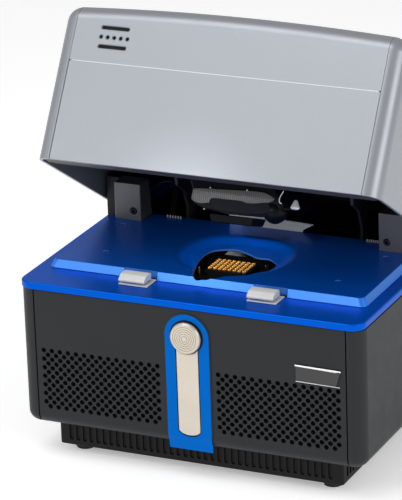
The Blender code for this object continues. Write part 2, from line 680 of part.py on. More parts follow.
def make_lid(lid, colours):
    def shell(name):
        piece = add(name, lid_outer(), colours["silver"], lid)
        boolean(piece, lid_inner(), lid)
        return piece

    wedge = [(LID_CUT_Y, LID_BOTTOM - 0.01), (LID_CUT_Y, LID_BOTTOM), (LID_DEPTH, LID_CUT_Z),
             (LID_DEPTH + 0.02, LID_CUT_Z), (LID_DEPTH + 0.02, LID_BOTTOM - 0.01)]
    for side, sign in (("left", -1), ("right", 1)):
        piece = shell(f"lid_side_{side}")
        near, far = sorted((sign * (SEAM + GAP), sign * (HALF_WIDTH + 0.01)))
        boolean(piece, block((near, -0.01, 0.1), (far, LID_DEPTH + 0.01, 0.4)), lid, "INTERSECT")
        boolean(piece, prism(wedge, "X", -0.2, 0.2), lid)
    front = shell("lid_front_panel")
    boolean(front, block((-SEAM, -0.01, 0.1), (SEAM, 0.05, LID_GROOVE - GAP)), lid, "INTERSECT")
    top = shell("lid_top_cover")
    keep = [(-0.01, LID_GROOVE + GAP), (0.06, LID_GROOVE + GAP), (0.2, 0.29), (0.29, 0.29),
            (0.29, LID_CUT_Z), (LID_DEPTH + 0.01, LID_CUT_Z), (LID_DEPTH + 0.01, 0.4), (-0.01, 0.4)]
    boolean(top, prism(keep, "X", -SEAM, SEAM), lid, "INTERSECT")

    sheet = 0.0020
    shelf = 0.3000
    profile = [(0.0070, 0.2000), (0.0070 + sheet, 0.2000), (0.0070 + sheet, shelf),
               (0.2300, shelf), (0.2300, shelf + sheet), (0.0070, shelf + sheet)]
    add("lid_frame", prism(profile, "X", -0.1520, 0.1520), colours["black_metal"], lid)

    neck = [(0.2175, 0.150), (0.2190, 0.170), (0.2240, 0.230), (0.2240, shelf - GAP),
            (0.1640, shelf - GAP), (0.1760, 0.235), (0.1940, 0.195), (0.1975, 0.165)]
    boss = arc(HINGE.y, HINGE.z, 0.0110, 200, 340, 8)
    outline = boss + neck
    for side, sign in (("left", -1), ("right", 1)):
        low, high = sorted((sign * LID_ARM_X[0], sign * LID_ARM_X[1]))
        arm = add(f"lid_arm_{side}", prism(outline, "X", low, high), colours["black_metal"], lid)
        boolean(arm, cylinder("X", (0, HINGE.y, HINGE.z), SHAFT_RADIUS + GAP, low - 0.01,
                              high + 0.01, 20), lid)
    add("hinge_shaft", cylinder("X", (0, HINGE.y, HINGE.z), SHAFT_RADIUS, -0.1510, 0.1510, 20,
                                0.0005), colours["steel"], lid)


# ---------------------------------------------------------------- optics head
def make_head(head, colours):
    low_x, high_x = HEAD_X - HEAD_HALF, HEAD_X + HEAD_HALF
    low_y, high_y = HEAD_Y
    outline = rounded_rectangle(low_x, low_y, high_x, high_y, 0.026, 8)
    centre = Vector(((low_x + high_x) / 2, (low_y + high_y) / 2, 0))

    def ring(scale, z):
        return [(centre.x + (x - centre.x) * scale, centre.y + (y - centre.y) * scale, z)
                for x, y in outline]

    body = add("head_body", loft([ring(0.80, HEAD_BOTTOM), ring(0.90, HEAD_BOTTOM + 0.0030),
                                  ring(0.97, HEAD_BOTTOM + 0.0070), ring(1.0, HEAD_BOTTOM + 0.013),
                                  ring(1.0, HEAD_SPLIT)]),
               colours["navy"], head)
    boolean(body, block((-0.027, BLOCK_Y - 0.0195, 0.17), (0.027, BLOCK_Y + 0.0195, 0.196)), head)
    cover = add("head_cover", loft([ring(0.95, HEAD_SPLIT + GAP), ring(0.95, HEAD_TOP - 0.006),
                                    ring(0.93, HEAD_TOP - 0.0015), ring(0.88, HEAD_TOP)]),
                colours["grey_metal"], head)
    boolean(cover, loft([ring(0.90, HEAD_SPLIT - 0.01), ring(0.90, HEAD_TOP - 0.008),
                         ring(0.86, HEAD_TOP - 0.003)]), head)

    plate = block((-0.0235, BLOCK_Y - 0.0165, 0.1783), (0.0235, BLOCK_Y + 0.0165, 0.1825), 0.0006, 1)
    heater = add("heated_plate", plate, colours["dark_steel"], head, (0, BLOCK_Y, 0.1783))
    boolean(heater, block((-0.026, BLOCK_Y - 0.0185, 0.1815), (0.026, BLOCK_Y + 0.0185, 0.1860)),
            head, "UNION")
    wheel = turned([(0, 0.2265), (0.0030, 0.2265), (0.0030, 0.2305), (0.0280, 0.2305),
                    (0.0280, 0.2335), (0.0030, 0.2335), (0.0030, 0.2400), (0, 0.2400)],
                   "Z", (HEAD_X, 0.123, 0), 24)
    filters = add("filter_wheel", wheel, colours["black_metal"], head, (HEAD_X, 0.123, 0.2320))
    for k in range(5):
        angle = 2 * math.pi * k / 5
        boolean(filters, cylinder("Z", (HEAD_X + 0.018 * math.cos(angle),
                                        0.123 + 0.018 * math.sin(angle), 0),
                                  0.0065, 0.2200, 0.2450, 12), head)

    bridge = [(0.1665, 0.2120), (0.1665, 0.2240), (0.1780, 0.2240), (0.1780, 0.2220),
              (0.1685, 0.2220), (0.1685, 0.2120)]
    add("head_bridge", prism(bridge, "X", -HEAD_ARM_X[0] + GAP, HEAD_ARM_X[0] - GAP),
        colours["black_metal"], head)
    arm_outline = arc(HINGE.y, HINGE.z, 0.0090, 190, 350, 8)
    arm_outline += [(0.2160, 0.170), (0.2080, 0.198), (0.1880, 0.2200), (0.1660, 0.2260),
                    (0.1580, 0.2240), (0.1560, 0.2160), (0.1600, 0.2080), (0.1780, 0.2030),
                    (0.1915, 0.1880), (0.1985, 0.1660)]
    for side, sign in (("left", -1), ("right", 1)):
        low, high = sorted((sign * HEAD_ARM_X[0], sign * HEAD_ARM_X[1]))
        arm = add(f"head_arm_{side}", prism(arm_outline, "X", low, high), colours["grey_metal"],
                  head)
        boolean(arm, cylinder("X", (0, HINGE.y, HINGE.z), SHAFT_RADIUS + GAP, low - 0.01,
                              high + 0.01, 20), head)


# ---------------------------------------------------------------- assembly
def rest_centre_y():
    """Middle, front to back, of the box round the model with the lid raised."""
    front = -0.0078
    across = LID_DEPTH - LID_EDGE - HINGE.y
    above = LID_TOP + LID_CROWN - LID_EDGE - HINGE.z
    back = HINGE.y + math.hypot(across, above) * math.cos(math.atan2(above, across) - LID_OPEN)
    back += LID_EDGE
    return (front + back) / 2


def main():
    clear_scene()
    colours = {
        "graphite": paint("graphite_plastic", (0.035, 0.037, 0.040), 0.42),
        "black_plastic": paint("black_plastic", (0.015, 0.015, 0.016), 0.5),
        "rear_plastic": paint("rear_plastic", (0.030, 0.028, 0.030), 0.45),
        "rubber": paint("rubber", (0.02, 0.02, 0.02), 0.85),
        "blue": paint("gloss_blue", (0.0, 0.10, 0.55), 0.15),
        "blue_screw": paint("blue_screw", (0.01, 0.07, 0.40), 0.35, 0.5),
        "silver": paint("silver_paint", (0.50, 0.52, 0.56), 0.35, 0.6),
        "champagne": paint("champagne_metal", (0.72, 0.66, 0.55), 0.3, 0.7),
        "bright_metal": paint("bright_metal", (0.75, 0.75, 0.76), 0.2, 1.0),
        "grey_metal": paint("grey_metal", (0.42, 0.42, 0.40), 0.45, 0.7),
        "aluminium": paint("aluminium", (0.70, 0.71, 0.72), 0.35, 1.0),
        "steel": paint("steel", (0.55, 0.55, 0.56), 0.35, 1.0),
        "dark_steel": paint("dark_steel", (0.09, 0.09, 0.09), 0.35, 0.8),
        "black_metal": paint("black_metal", (0.02, 0.02, 0.022), 0.5, 0.4),
        "post": paint("post_metal", (0.13, 0.13, 0.13), 0.45, 0.6),
        "bronze": paint("bronze", (0.55, 0.36, 0.16), 0.4, 1.0),
        "gold": paint("gold", (0.85, 0.55, 0.20), 0.25, 1.0),
        "ceramic": paint("ceramic", (0.85, 0.85, 0.82), 0.5),
        "board": paint("circuit_board", (0.02, 0.16, 0.07), 0.45),
        "navy": paint("navy_plastic", (0.025, 0.030, 0.055), 0.4),
        "cream": paint("cream_plastic", (0.72, 0.70, 0.66), 0.45),
    }
    unit = add_empty("unit", (0, -rest_centre_y(), 0))
    base = Body(unit, (0, 0, 0))
    lid = Body(add_empty("lid_pivot", HINGE, unit, -LID_OPEN), HINGE)
    head = Body(add_empty("head_pivot", HINGE, unit, -HEAD_OPEN), HINGE)
    make_base_casing(base, colours)
    make_deck(base, colours)
    make_front_fittings(base, colours)
    make_thermal_core(base, colours)
    make_fan(base, colours)
    make_electronics(base, colours)
    make_hinge_supports(base, colours)
    make_lid(lid, colours)
    make_head(head, colours)


main()
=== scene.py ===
"""Looks of a benchtop real-time thermal cycler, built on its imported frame.

Meshes are drawn in the unit's own frame: y = 0 is the face of the front panel, z = 0 the table.
The lid and the optics head are drawn shut, and are laid up by the same turns as the frame's.
"""

import json
import math

import bmesh
import bpy
from mathutils import Matrix, Vector


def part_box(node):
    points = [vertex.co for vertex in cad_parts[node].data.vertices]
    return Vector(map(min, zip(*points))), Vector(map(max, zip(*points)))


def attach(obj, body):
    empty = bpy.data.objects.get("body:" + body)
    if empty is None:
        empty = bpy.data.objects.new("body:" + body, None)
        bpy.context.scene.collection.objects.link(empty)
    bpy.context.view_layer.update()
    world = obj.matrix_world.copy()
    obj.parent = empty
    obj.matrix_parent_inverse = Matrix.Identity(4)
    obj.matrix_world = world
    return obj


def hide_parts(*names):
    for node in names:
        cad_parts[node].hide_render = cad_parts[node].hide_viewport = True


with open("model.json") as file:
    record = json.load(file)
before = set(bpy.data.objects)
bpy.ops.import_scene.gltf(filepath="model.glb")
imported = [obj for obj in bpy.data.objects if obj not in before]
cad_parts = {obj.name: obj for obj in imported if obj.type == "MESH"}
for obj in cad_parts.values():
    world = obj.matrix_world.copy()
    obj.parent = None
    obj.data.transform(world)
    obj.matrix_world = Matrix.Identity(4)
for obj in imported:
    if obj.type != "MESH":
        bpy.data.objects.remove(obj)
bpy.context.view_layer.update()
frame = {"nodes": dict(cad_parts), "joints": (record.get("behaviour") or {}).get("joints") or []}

# ---------------------------------------------------------------- places taken from the frame
JOINTS = {joint["name"]: joint for joint in frame["joints"]}
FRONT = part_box("front_panel")[0].y
HINGE = Vector(JOINTS["lid_hinge"]["pos_m"])
LID_OPEN = math.radians(JOINTS["lid_hinge"]["range_deg"][1])
HEAD_OPEN = math.radians(JOINTS["head_hinge"]["range_deg"][1])


def raised(angle):
    turn = Matrix.Rotation(-angle, 4, "X")
    return (Matrix.Translation(HINGE) @ turn @ Matrix.Translation(-HINGE)
            @ Matrix.Translation((0, FRONT, 0)))


BASE = Matrix.Translation((0, FRONT, 0))
LID = raised(LID_OPEN)
HEAD = raised(HEAD_OPEN)
PLACES = {"base": BASE, "front_button": BASE, "catch_left": BASE, "catch_right": BASE,
          "fan_rotor": BASE, "power_switch": BASE, "lid": LID, "optics_head": HEAD,
          "heated_plate": HEAD, "filter_wheel": HEAD}

# ---------------------------------------------------------------- sizes, metres
HALF_WIDTH = 0.1725
DEPTH = 0.308
SEAM = 0.157
CORNER = 0.0155
BODY_BOTTOM = 0.0335
BODY_TOP = 0.1695
BODY_EDGE = 0.011
RIM_BOTTOM, RIM_TOP = 0.1700, 0.1772
DECK_BOTTOM, DECK_TOP = 0.1776, 0.1850
DECK_HALF, DECK_FRONT, DECK_REAR = 0.161, 0.0408, 0.189
DISH_FLOOR = 0.1793
LID_BOTTOM, LID_TOP = 0.1779, 0.3285
LID_DEPTH = 0.3099
LID_EDGE = 0.0150
LID_CROWN = 0.0055
LID_GROOVE = 0.2745
LID_CUT_Y, LID_CUT_Z = 0.195, 0.2515
BUTTON_Z, BUTTON_RADIUS = 0.143, 0.0152
TRIM_HALF, BAR_HALF, BAR_BOTTOM = 0.0222, 0.0109, 0.0445
TRIM_BOTTOM = 0.0290
BODY_HALF, BODY_CORNER = 0.1734, 0.0140
BLOCK_Y, BLOCK_TOP = 0.104, 0.1765
POST_IN, POST_OUT, POST_FRONT = 0.124, 0.152, 0.167
FAN_Z = 0.087
SKIN = 0.003
BEYOND = 0.01  # how far a cutter reaches past what it cuts
GRILLE_FIELDS = ((-0.1493, 0.00842), (0.0303, 0.00851))  # first hole and pitch of each field
GRILLE_TOP, GRILLE_DROP, GRILLE_RADIUS = 0.1096, 0.0087, 0.00245
GRILLE_COLUMNS, GRILLE_ROWS = 15, 7
RIM_CORNER, DECK_CORNER, DECK_SLOPE = 0.0140, 0.006, 0.0036
DISH_X, DISH_Y, DISH_HALF_X, DISH_HALF_Y = 0.001, 0.113, 0.058, 0.050
CATCH_X, CATCH_HALF = 0.065, 0.0132
FRAME_TOP = 0.1722
VENT_LEFT, VENT_RIGHT, VENT_HALF, VENT_GAP = -0.1285, -0.1030, 0.0018, 0.0092
VENT_HOLES_X, VENT_HOLES_Z, VENT_PITCH = -0.1290, 0.2992, 0.0068
HEAD_FRONT = 0.0800
CAP_Z = 0.1937

# ---------------------------------------------------------------- camera, degrees, metres, mm
AZIMUTH, ELEVATION, ROLL = 25.05, 20.2, -1.97
AIM = (0, 0.150, 0.160)
FROM_AIM = (-0.04187, 0.01488, 3.2442)  # along the camera's own right, up and back
LENS, SENSOR, SHIFT = 304.36, 36.0, -0.01744


# ---------------------------------------------------------------- outlines
def arc(cu, cv, radius, start, end, steps):
    points = []
    for i in range(steps + 1):
        angle = math.radians(start + (end - start) * i / steps)
        points.append((cu + radius * math.cos(angle), cv + radius * math.sin(angle)))
    return points


def circle(cu, cv, radius, steps):
    return arc(cu, cv, radius, 0, 360, steps)[:-1]


def rounded(low_u, low_v, high_u, high_v, radius, steps=6):
    corners = ((high_u - radius, low_v + radius, -90), (high_u - radius, high_v - radius, 0),
               (low_u + radius, high_v - radius, 90), (low_u + radius, low_v + radius, 180))
    points = []
    for u, v, start in corners:
        points.extend(arc(u, v, radius, start, start + 90, steps))
    return points


def smooth_loop(points, steps):
    """A closed Catmull-Rom curve through given points."""
    count = len(points)
    result = []
    for i in range(count):
        p0, p1, p2, p3 = (points[(i + k - 1) % count] for k in range(4))
        for s in range(steps):
            t = s / steps
            result.append(tuple(
                0.5 * (2 * p1[a] + (p2[a] - p0[a]) * t
                       + (2 * p0[a] - 5 * p1[a] + 4 * p2[a] - p3[a]) * t * t
                       + (3 * p1[a] - p0[a] - 3 * p2[a] + p3[a]) * t ** 3)
                for a in range(2)))
    return result


def superellipse(power, steps):
    points = []
    for i in range(steps):
        angle = 2 * math.pi * i / steps
        c, s = math.cos(angle), math.sin(angle)
        points.append((math.copysign(abs(c) ** (2 / power), c),
                       math.copysign(abs(s) ** (2 / power), s)))
    return points


# ---------------------------------------------------------------- meshes
ORDER = {"X": lambda u, v, w: (w, u, v), "Y": lambda u, v, w: (u, w, v),
         "Z": lambda u, v, w: (u, v, w)}


def loft(rings, close=False):
    mesh = bmesh.new()
    loops = [[mesh.verts.new(point) for point in ring] for ring in rings]
    pairs = list(zip(loops, loops[1:]))
    if close:
        pairs.append((loops[-1], loops[0]))
    else:
        mesh.faces.new(loops[0])
        mesh.faces.new(loops[-1])
    for first, second in pairs:
        for i in range(len(first)):
            j = (i + 1) % len(first)
            mesh.faces.new((first[i], first[j], second[j], second[i]))
    bmesh.ops.recalc_face_normals(mesh, faces=mesh.faces)
    return mesh


def prism(outline, axis, low, high):
    place = ORDER[axis]
    return loft([[place(u, v, w) for u, v in outline] for w in (low, high)])


def plain_block(low, high):
    return prism([(low[0], low[1]), (high[0], low[1]), (high[0], high[1]), (low[0], high[1])],
                 "Z", low[2], high[2])


def turned(profile, axis, centre, steps=48):
    """A closed (radius, height) profile turned about an axis; radius 0 becomes one point."""
    place = ORDER[axis]
    mesh = bmesh.new()
    rings = []
    for radius, height in profile:
        if radius < 1e-7:
            rings.append([mesh.verts.new(place(0, 0, height))] * steps)
        else:
            rings.append([mesh.verts.new(place(radius * math.cos(2 * math.pi * i / steps),
                                               radius * math.sin(2 * math.pi * i / steps),
                                               height)) for i in range(steps)])
    for a in range(len(rings)):
        first, second = rings[a], rings[(a + 1) % len(rings)]
        for i in range(steps):
            j = (i + 1) % steps
            corners = list(dict.fromkeys((first[i], first[j], second[j], second[i])))
            if len(corners) > 2:
                mesh.faces.new(corners)
    mesh.transform(Matrix.Translation(Vector(centre)))
    bmesh.ops.recalc_face_normals(mesh, faces=mesh.faces)
    return mesh


def cylinder(axis, centre, radius, low, high, steps=32, chamfer=0.0):
    profile = [(0, low), (radius - chamfer, low), (radius, low + chamfer),
               (radius, high - chamfer), (radius - chamfer, high), (0, high)]
    if not chamfer:
        profile = [(0, low), (radius, low), (radius, high), (0, high)]
    return turned(profile, axis, centre, steps)


def wire_ring(radius, thick, axis, centre, steps=64, around=10):
    """A ring of round wire."""
    place = ORDER[axis]
    rings = []
    for i in range(steps):
        a = 2 * math.pi * i / steps
        ring = []
        for k in range(around):
            b = 2 * math.pi * k / around
            r = radius + thick * math.cos(b)
            ring.append(place(r * math.cos(a), r * math.sin(a), thick * math.sin(b)))
        rings.append(ring)
    mesh = loft(rings, close=True)
    mesh.transform(Matrix.Translation(Vector(centre)))
    return mesh


def rod(start, end, radius, sides=12):
    """A straight round bar between two points."""
    start, end = Vector(start), Vector(end)
    along = end - start
    mesh = cylinder("Z", (0, 0, 0), radius, 0, along.length, sides, min(radius * 0.3, 0.0005))
    mesh.transform(Matrix.Translation(start) @ along.to_track_quat("Z", "Y").to_matrix().to_4x4())
    return mesh


def soften(mesh, width, segments=3, angle=30.0):
    """Round every edge sharper than an angle."""
    bmesh.ops.remove_doubles(mesh, verts=mesh.verts, dist=1e-6)
    bmesh.ops.dissolve_limit(mesh, angle_limit=math.radians(0.05), verts=mesh.verts,
                             edges=mesh.edges)
    bmesh.ops.recalc_face_normals(mesh, faces=mesh.faces)
    edges = [e for e in mesh.edges if len(e.link_faces) == 2
             and e.calc_face_angle(0) > math.radians(angle)]
    bmesh.ops.bevel(mesh, geom=edges, offset=width, segments=segments, profile=0.5,
                    affect="EDGES", clamp_overlap=True, miter_outer="ARC")
    return mesh


def block(low, high, bevel=0.0006, segments=3):
    return soften(plain_block(low, high), bevel, segments)


def casing(low, high, corner, edge, rounded_end, segments=12):
    """A box with round upright corners, and its top or bottom edge rounded too."""
    mesh = plain_block(low, high)
    upright = [e for e in mesh.edges if abs(e.verts[0].co.z - e.verts[1].co.z) > 1e-6]
    bmesh.ops.bevel(mesh, geom=upright, offset=corner, segments=segments, profile=0.5,
                    affect="EDGES")
    level = high[2] if rounded_end == "top" else low[2]
    ring = [e for e in mesh.edges if all(abs(v.co.z - level) < 1e-6 for v in e.verts)]
    bmesh.ops.bevel(mesh, geom=ring, offset=edge, segments=segments, profile=0.5,
                    affect="EDGES")
    return mesh


def merged(pieces):
    """One mesh that holds several separate ones."""
    whole = bmesh.new()
    for piece in pieces:
        data = bpy.data.meshes.new("piece")
        piece.to_mesh(data)
        piece.free()
        whole.from_mesh(data)
        bpy.data.meshes.remove(data)
    return whole


def combined(mesh, other, operation="DIFFERENCE"):
    """The exact boolean of two meshes, as a new mesh."""
    objects = []
    for source in (mesh, other):
        bmesh.ops.recalc_face_normals(source, faces=source.faces)
        data = bpy.data.meshes.new("work")
        source.to_mesh(data)
        source.free()
        obj = bpy.data.objects.new("work", data)
        bpy.context.scene.collection.objects.link(obj)
        objects.append(obj)
    step = objects[0].modifiers.new("step", "BOOLEAN")
    step.operation = operation
    step.object = objects[1]
    step.solver = "EXACT"
    bpy.context.view_layer.update()
    made = objects[0].evaluated_get(bpy.context.evaluated_depsgraph_get())
    result = bmesh.new()
    result.from_mesh(made.data)
    for obj in objects:
        data = obj.data
        bpy.data.objects.remove(obj)
        bpy.data.meshes.remove(data)
    return result


def cad_copy(node):
    """A copy of a CAD node's mesh to work on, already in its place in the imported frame."""
    mesh = bmesh.new()
    mesh.from_mesh(frame["nodes"][node].data)
    return mesh


# ---------------------------------------------------------------- pieces
def add(name, mesh, material, body, replaces=(), sharp=32.0, placed=False):
    if not placed:
        mesh.transform(PLACES[body])
    bmesh.ops.recalc_face_normals(mesh, faces=mesh.faces)
    data = bpy.data.meshes.new(name)
    mesh.to_mesh(data)
    mesh.free()
    obj = bpy.data.objects.new(name, data)
    bpy.context.scene.collection.objects.link(obj)
    data.materials.append(material)
    data.shade_smooth()
    data.set_sharp_from_angle(angle=math.radians(sharp))
    weigh = obj.modifiers.new("weigh", "WEIGHTED_NORMAL")
    weigh.keep_sharp = True
    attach(obj, body)
    for node in replaces:
        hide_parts(node)


def softened(node, material, body, width, segments=3):
    """The CAD node again, with its edges rounded."""
    add(node + "_soft", soften(cad_copy(node), width, segments), material, body,
        (node,), placed=True)


# ---------------------------------------------------------------- materials
class Shader:
    """A Principled material and the nodes that feed it."""

    def __init__(self, name, colour, roughness, metallic=0.0, **sockets):
        self.material = bpy.data.materials.new(name)
        self.material.use_nodes = True
        self.tree = self.material.node_tree
        self.principled = self.tree.nodes["Principled BSDF"]
        self.set("Base Color", (*colour, 1.0))
        self.set("Roughness", roughness)
        self.set("Metallic", metallic)
        for socket, value in sockets.items():
            self.set(socket.replace("_", " "), value)
        self.coords = self.tree.nodes.new("ShaderNodeTexCoord").outputs["Object"]
        self.material.diffuse_color = (*colour, 1.0)

    def set(self, socket, value):
        self.principled.inputs[socket].default_value = value

    def link(self, output, socket):
        self.tree.links.new(output, self.principled.inputs[socket])

    def stretch(self, scale):
        """Object coordinates, scaled differently along each axis."""
        node = self.tree.nodes.new("ShaderNodeMapping")
        node.inputs["Scale"].default_value = scale
        self.tree.links.new(self.coords, node.inputs["Vector"])
        return node.outputs["Vector"]

    def noise(self, scale, detail=2.0, roughness=0.5, vector=None):
        node = self.tree.nodes.new("ShaderNodeTexNoise")
        node.inputs["Scale"].default_value = scale
        node.inputs["Detail"].default_value = detail
        node.inputs["Roughness"].default_value = roughness
        self.tree.links.new(vector or self.coords, node.inputs["Vector"])
        return node.outputs["Fac"]

    def ramp(self, fac, stops):
        node = self.tree.nodes.new("ShaderNodeValToRGB")
        ramp = node.color_ramp
        while len(ramp.elements) < len(stops):
            ramp.elements.new(0.5)
        for element, (place, value) in zip(ramp.elements, stops):
            element.position = place
            element.color = (*value, 1.0) if isinstance(value, tuple) else (value,) * 3 + (1.0,)
        self.tree.links.new(fac, node.inputs["Fac"])
        return node.outputs["Color"]

    def vary(self, socket, fac, value, low, high, spread=(0.3, 0.7)):
        """A colour or a number that drifts between two multiples of itself."""
        ends = [shade(value, k) if isinstance(value, tuple) else value * k for k in (low, high)]
        self.link(self.ramp(fac, tuple(zip(spread, ends))), socket)

    def bump(self, height, strength, distance):
        node = self.tree.nodes.new("ShaderNodeBump")
        node.inputs["Strength"].default_value = strength
        node.inputs["Distance"].default_value = distance
        self.tree.links.new(height, node.inputs["Height"])
        previous = self.principled.inputs["Normal"].links
        if previous:
            self.tree.links.new(previous[0].from_socket, node.inputs["Normal"])
        self.link(node.outputs["Normal"], "Normal")


def shade(colour, factor):
    return tuple(min(1.0, c * factor) for c in colour)


def moulded(name, colour, roughness, grain=2600.0, depth=0.00004, mottle=0.06, **sockets):
    """Fine-textured moulded plastic: grain, a faint cloudiness, and uneven gloss."""
    shader = Shader(name, colour, roughness, **sockets)
    shader.vary("Base Color", shader.noise(9.0, 3.0, 0.55), colour, 1 - mottle, 1 + mottle)
    shader.vary("Roughness", shader.noise(55.0, 4.0, 0.6), roughness, 0.92, 1.08)
    shader.bump(shader.noise(grain, 2.0, 0.6), 0.35, depth)
    return shader.material


def brushed(name, colour, roughness, along="X", metallic=1.0):
    """Metal with fine lines along one axis."""
    shader = Shader(name, colour, roughness, metallic)
    scale = {"X": (20, 1500, 1500), "Y": (1500, 20, 1500), "Z": (1500, 1500, 20)}[along]
    lines = shader.noise(1.0, 3.0, 0.6, shader.stretch(scale))
    shader.vary("Roughness", lines, roughness, 0.8, 1.25)
    shader.vary("Base Color", lines, colour, 0.93, 1.06)
    shader.bump(lines, 0.3, 0.00003)
    return shader.material


def cast(name, colour, roughness, metallic=1.0, depth=0.00005):
    """Metal with an even fine blasted or plated face."""
    shader = Shader(name, colour, roughness, metallic)
    fine = shader.noise(900.0, 3.0, 0.6)
    shader.vary("Roughness", fine, roughness, 0.85, 1.15)
    shader.vary("Base Color", shader.noise(30.0, 3.0), colour, 0.95, 1.05)
    shader.bump(fine, 0.3, depth)
    return shader.material


def painted_silver(name, colour, roughness):
    """Silver paint: metal flake in a satin lacquer."""
    shader = Shader(name, colour, roughness, 0.55, Coat_Weight=0.25, Coat_Roughness=0.25)
    shader.vary("Base Color", shader.noise(3200.0, 2.0, 0.7), colour, 0.9, 1.1)
    shader.vary("Roughness", shader.noise(40.0, 3.0), roughness, 0.95, 1.05)
    shader.bump(shader.noise(1500.0, 2.0, 0.6), 0.15, 0.00003)
    return shader.material


def orange_peel(shader, roughness):
    """The slightly uneven gloss and fine wave of sprayed paint."""
    shader.vary("Roughness", shader.noise(300.0, 3.0, 0.6), roughness, 0.93, 1.08, (0.35, 0.7))
    shader.bump(shader.noise(900.0, 2.0, 0.6), 0.12, 0.00002)
    return shader.material


def metallic_gloss(name, colour, roughness, metallic, coat):
    """Tinted gloss that mirrors its own colour, under a thin clear skin."""
    shader = Shader(name, colour, roughness, metallic, Coat_Weight=coat, Coat_Roughness=0.08,
                    Specular_IOR_Level=0.04)
    shader.vary("Base Color", shader.noise(14.0, 2.0), colour, 0.97, 1.03)
    return orange_peel(shader, roughness)


def deck_paint_with_painted_light(name, colour, bright, edge, roughness, metallic):
    """Deck paint with painted light: deep blue on the flat, painted lighter down the dish where front
    light falls on its slopes, and painted lightest on the sloped edges as a painted highlight.
    """
    shader = Shader(name, colour, roughness, metallic, Specular_IOR_Level=0.08,
                    Coat_Weight=0.10, Coat_Roughness=0.28)
    split = shader.tree.nodes.new("ShaderNodeSeparateXYZ")
    shader.tree.links.new(shader.coords, split.inputs["Vector"])
    depth = shader.tree.nodes.new("ShaderNodeMapRange")
    depth.inputs["From Min"].default_value = DECK_TOP - 0.0001
    depth.inputs["From Max"].default_value = DECK_TOP - 0.0024
    shader.tree.links.new(split.outputs["Z"], depth.inputs["Value"])
    # Painted light: the colour turns from the flat blue to the lighter dish colour with depth, for
    # light falling into the dish.
    dish = shader.ramp(depth.outputs["Result"], ((0.0, colour), (1.0, bright)))
    normal = shader.tree.nodes.new("ShaderNodeSeparateXYZ")
    texture = shader.coords.node
    shader.tree.links.new(texture.outputs["Normal"], normal.inputs["Vector"])
    # Painted highlight: steeply tilted faces take the lighter edge colour, for the sloped edges
    # catching light.
    edge_painted_highlight = shader.ramp(normal.outputs["Z"], ((0.35, 1.0), (0.70, 0.0)))
    mix = shader.tree.nodes.new("ShaderNodeMixRGB")
    mix.inputs["Color2"].default_value = (*edge, 1.0)
    shader.tree.links.new(edge_painted_highlight, mix.inputs["Fac"])
    shader.tree.links.new(dish, mix.inputs["Color1"])
    shader.link(mix.outputs["Color"], "Base Color")
    return orange_peel(shader, roughness)


def fluted(name, colour, roughness, pitch):
    """Dull metal with fine upright flutes side by side, painted darker in each flute's hollow as
    painted shade.
    """
    shader = Shader(name, colour, roughness, 0.35)
    wave = shader.tree.nodes.new("ShaderNodeTexWave")
    wave.bands_direction = "X"
    wave.inputs["Scale"].default_value = 0.3142 / pitch
    wave.inputs["Distortion"].default_value = 0.0
    shader.tree.links.new(shader.coords, wave.inputs["Vector"])
    ridges_and_shade = wave.outputs["Fac"]
    # Painted shade and highlight: the colour darkens in the flute hollows and lightens on the crests.
    shader.vary("Base Color", ridges_and_shade, colour, 0.62, 1.1, (0.0, 0.6))
    shader.vary("Roughness", shader.noise(400.0, 3.0), roughness, 0.9, 1.1)
    shader.bump(ridges_and_shade, 0.5, 0.0003)
    return shader.material


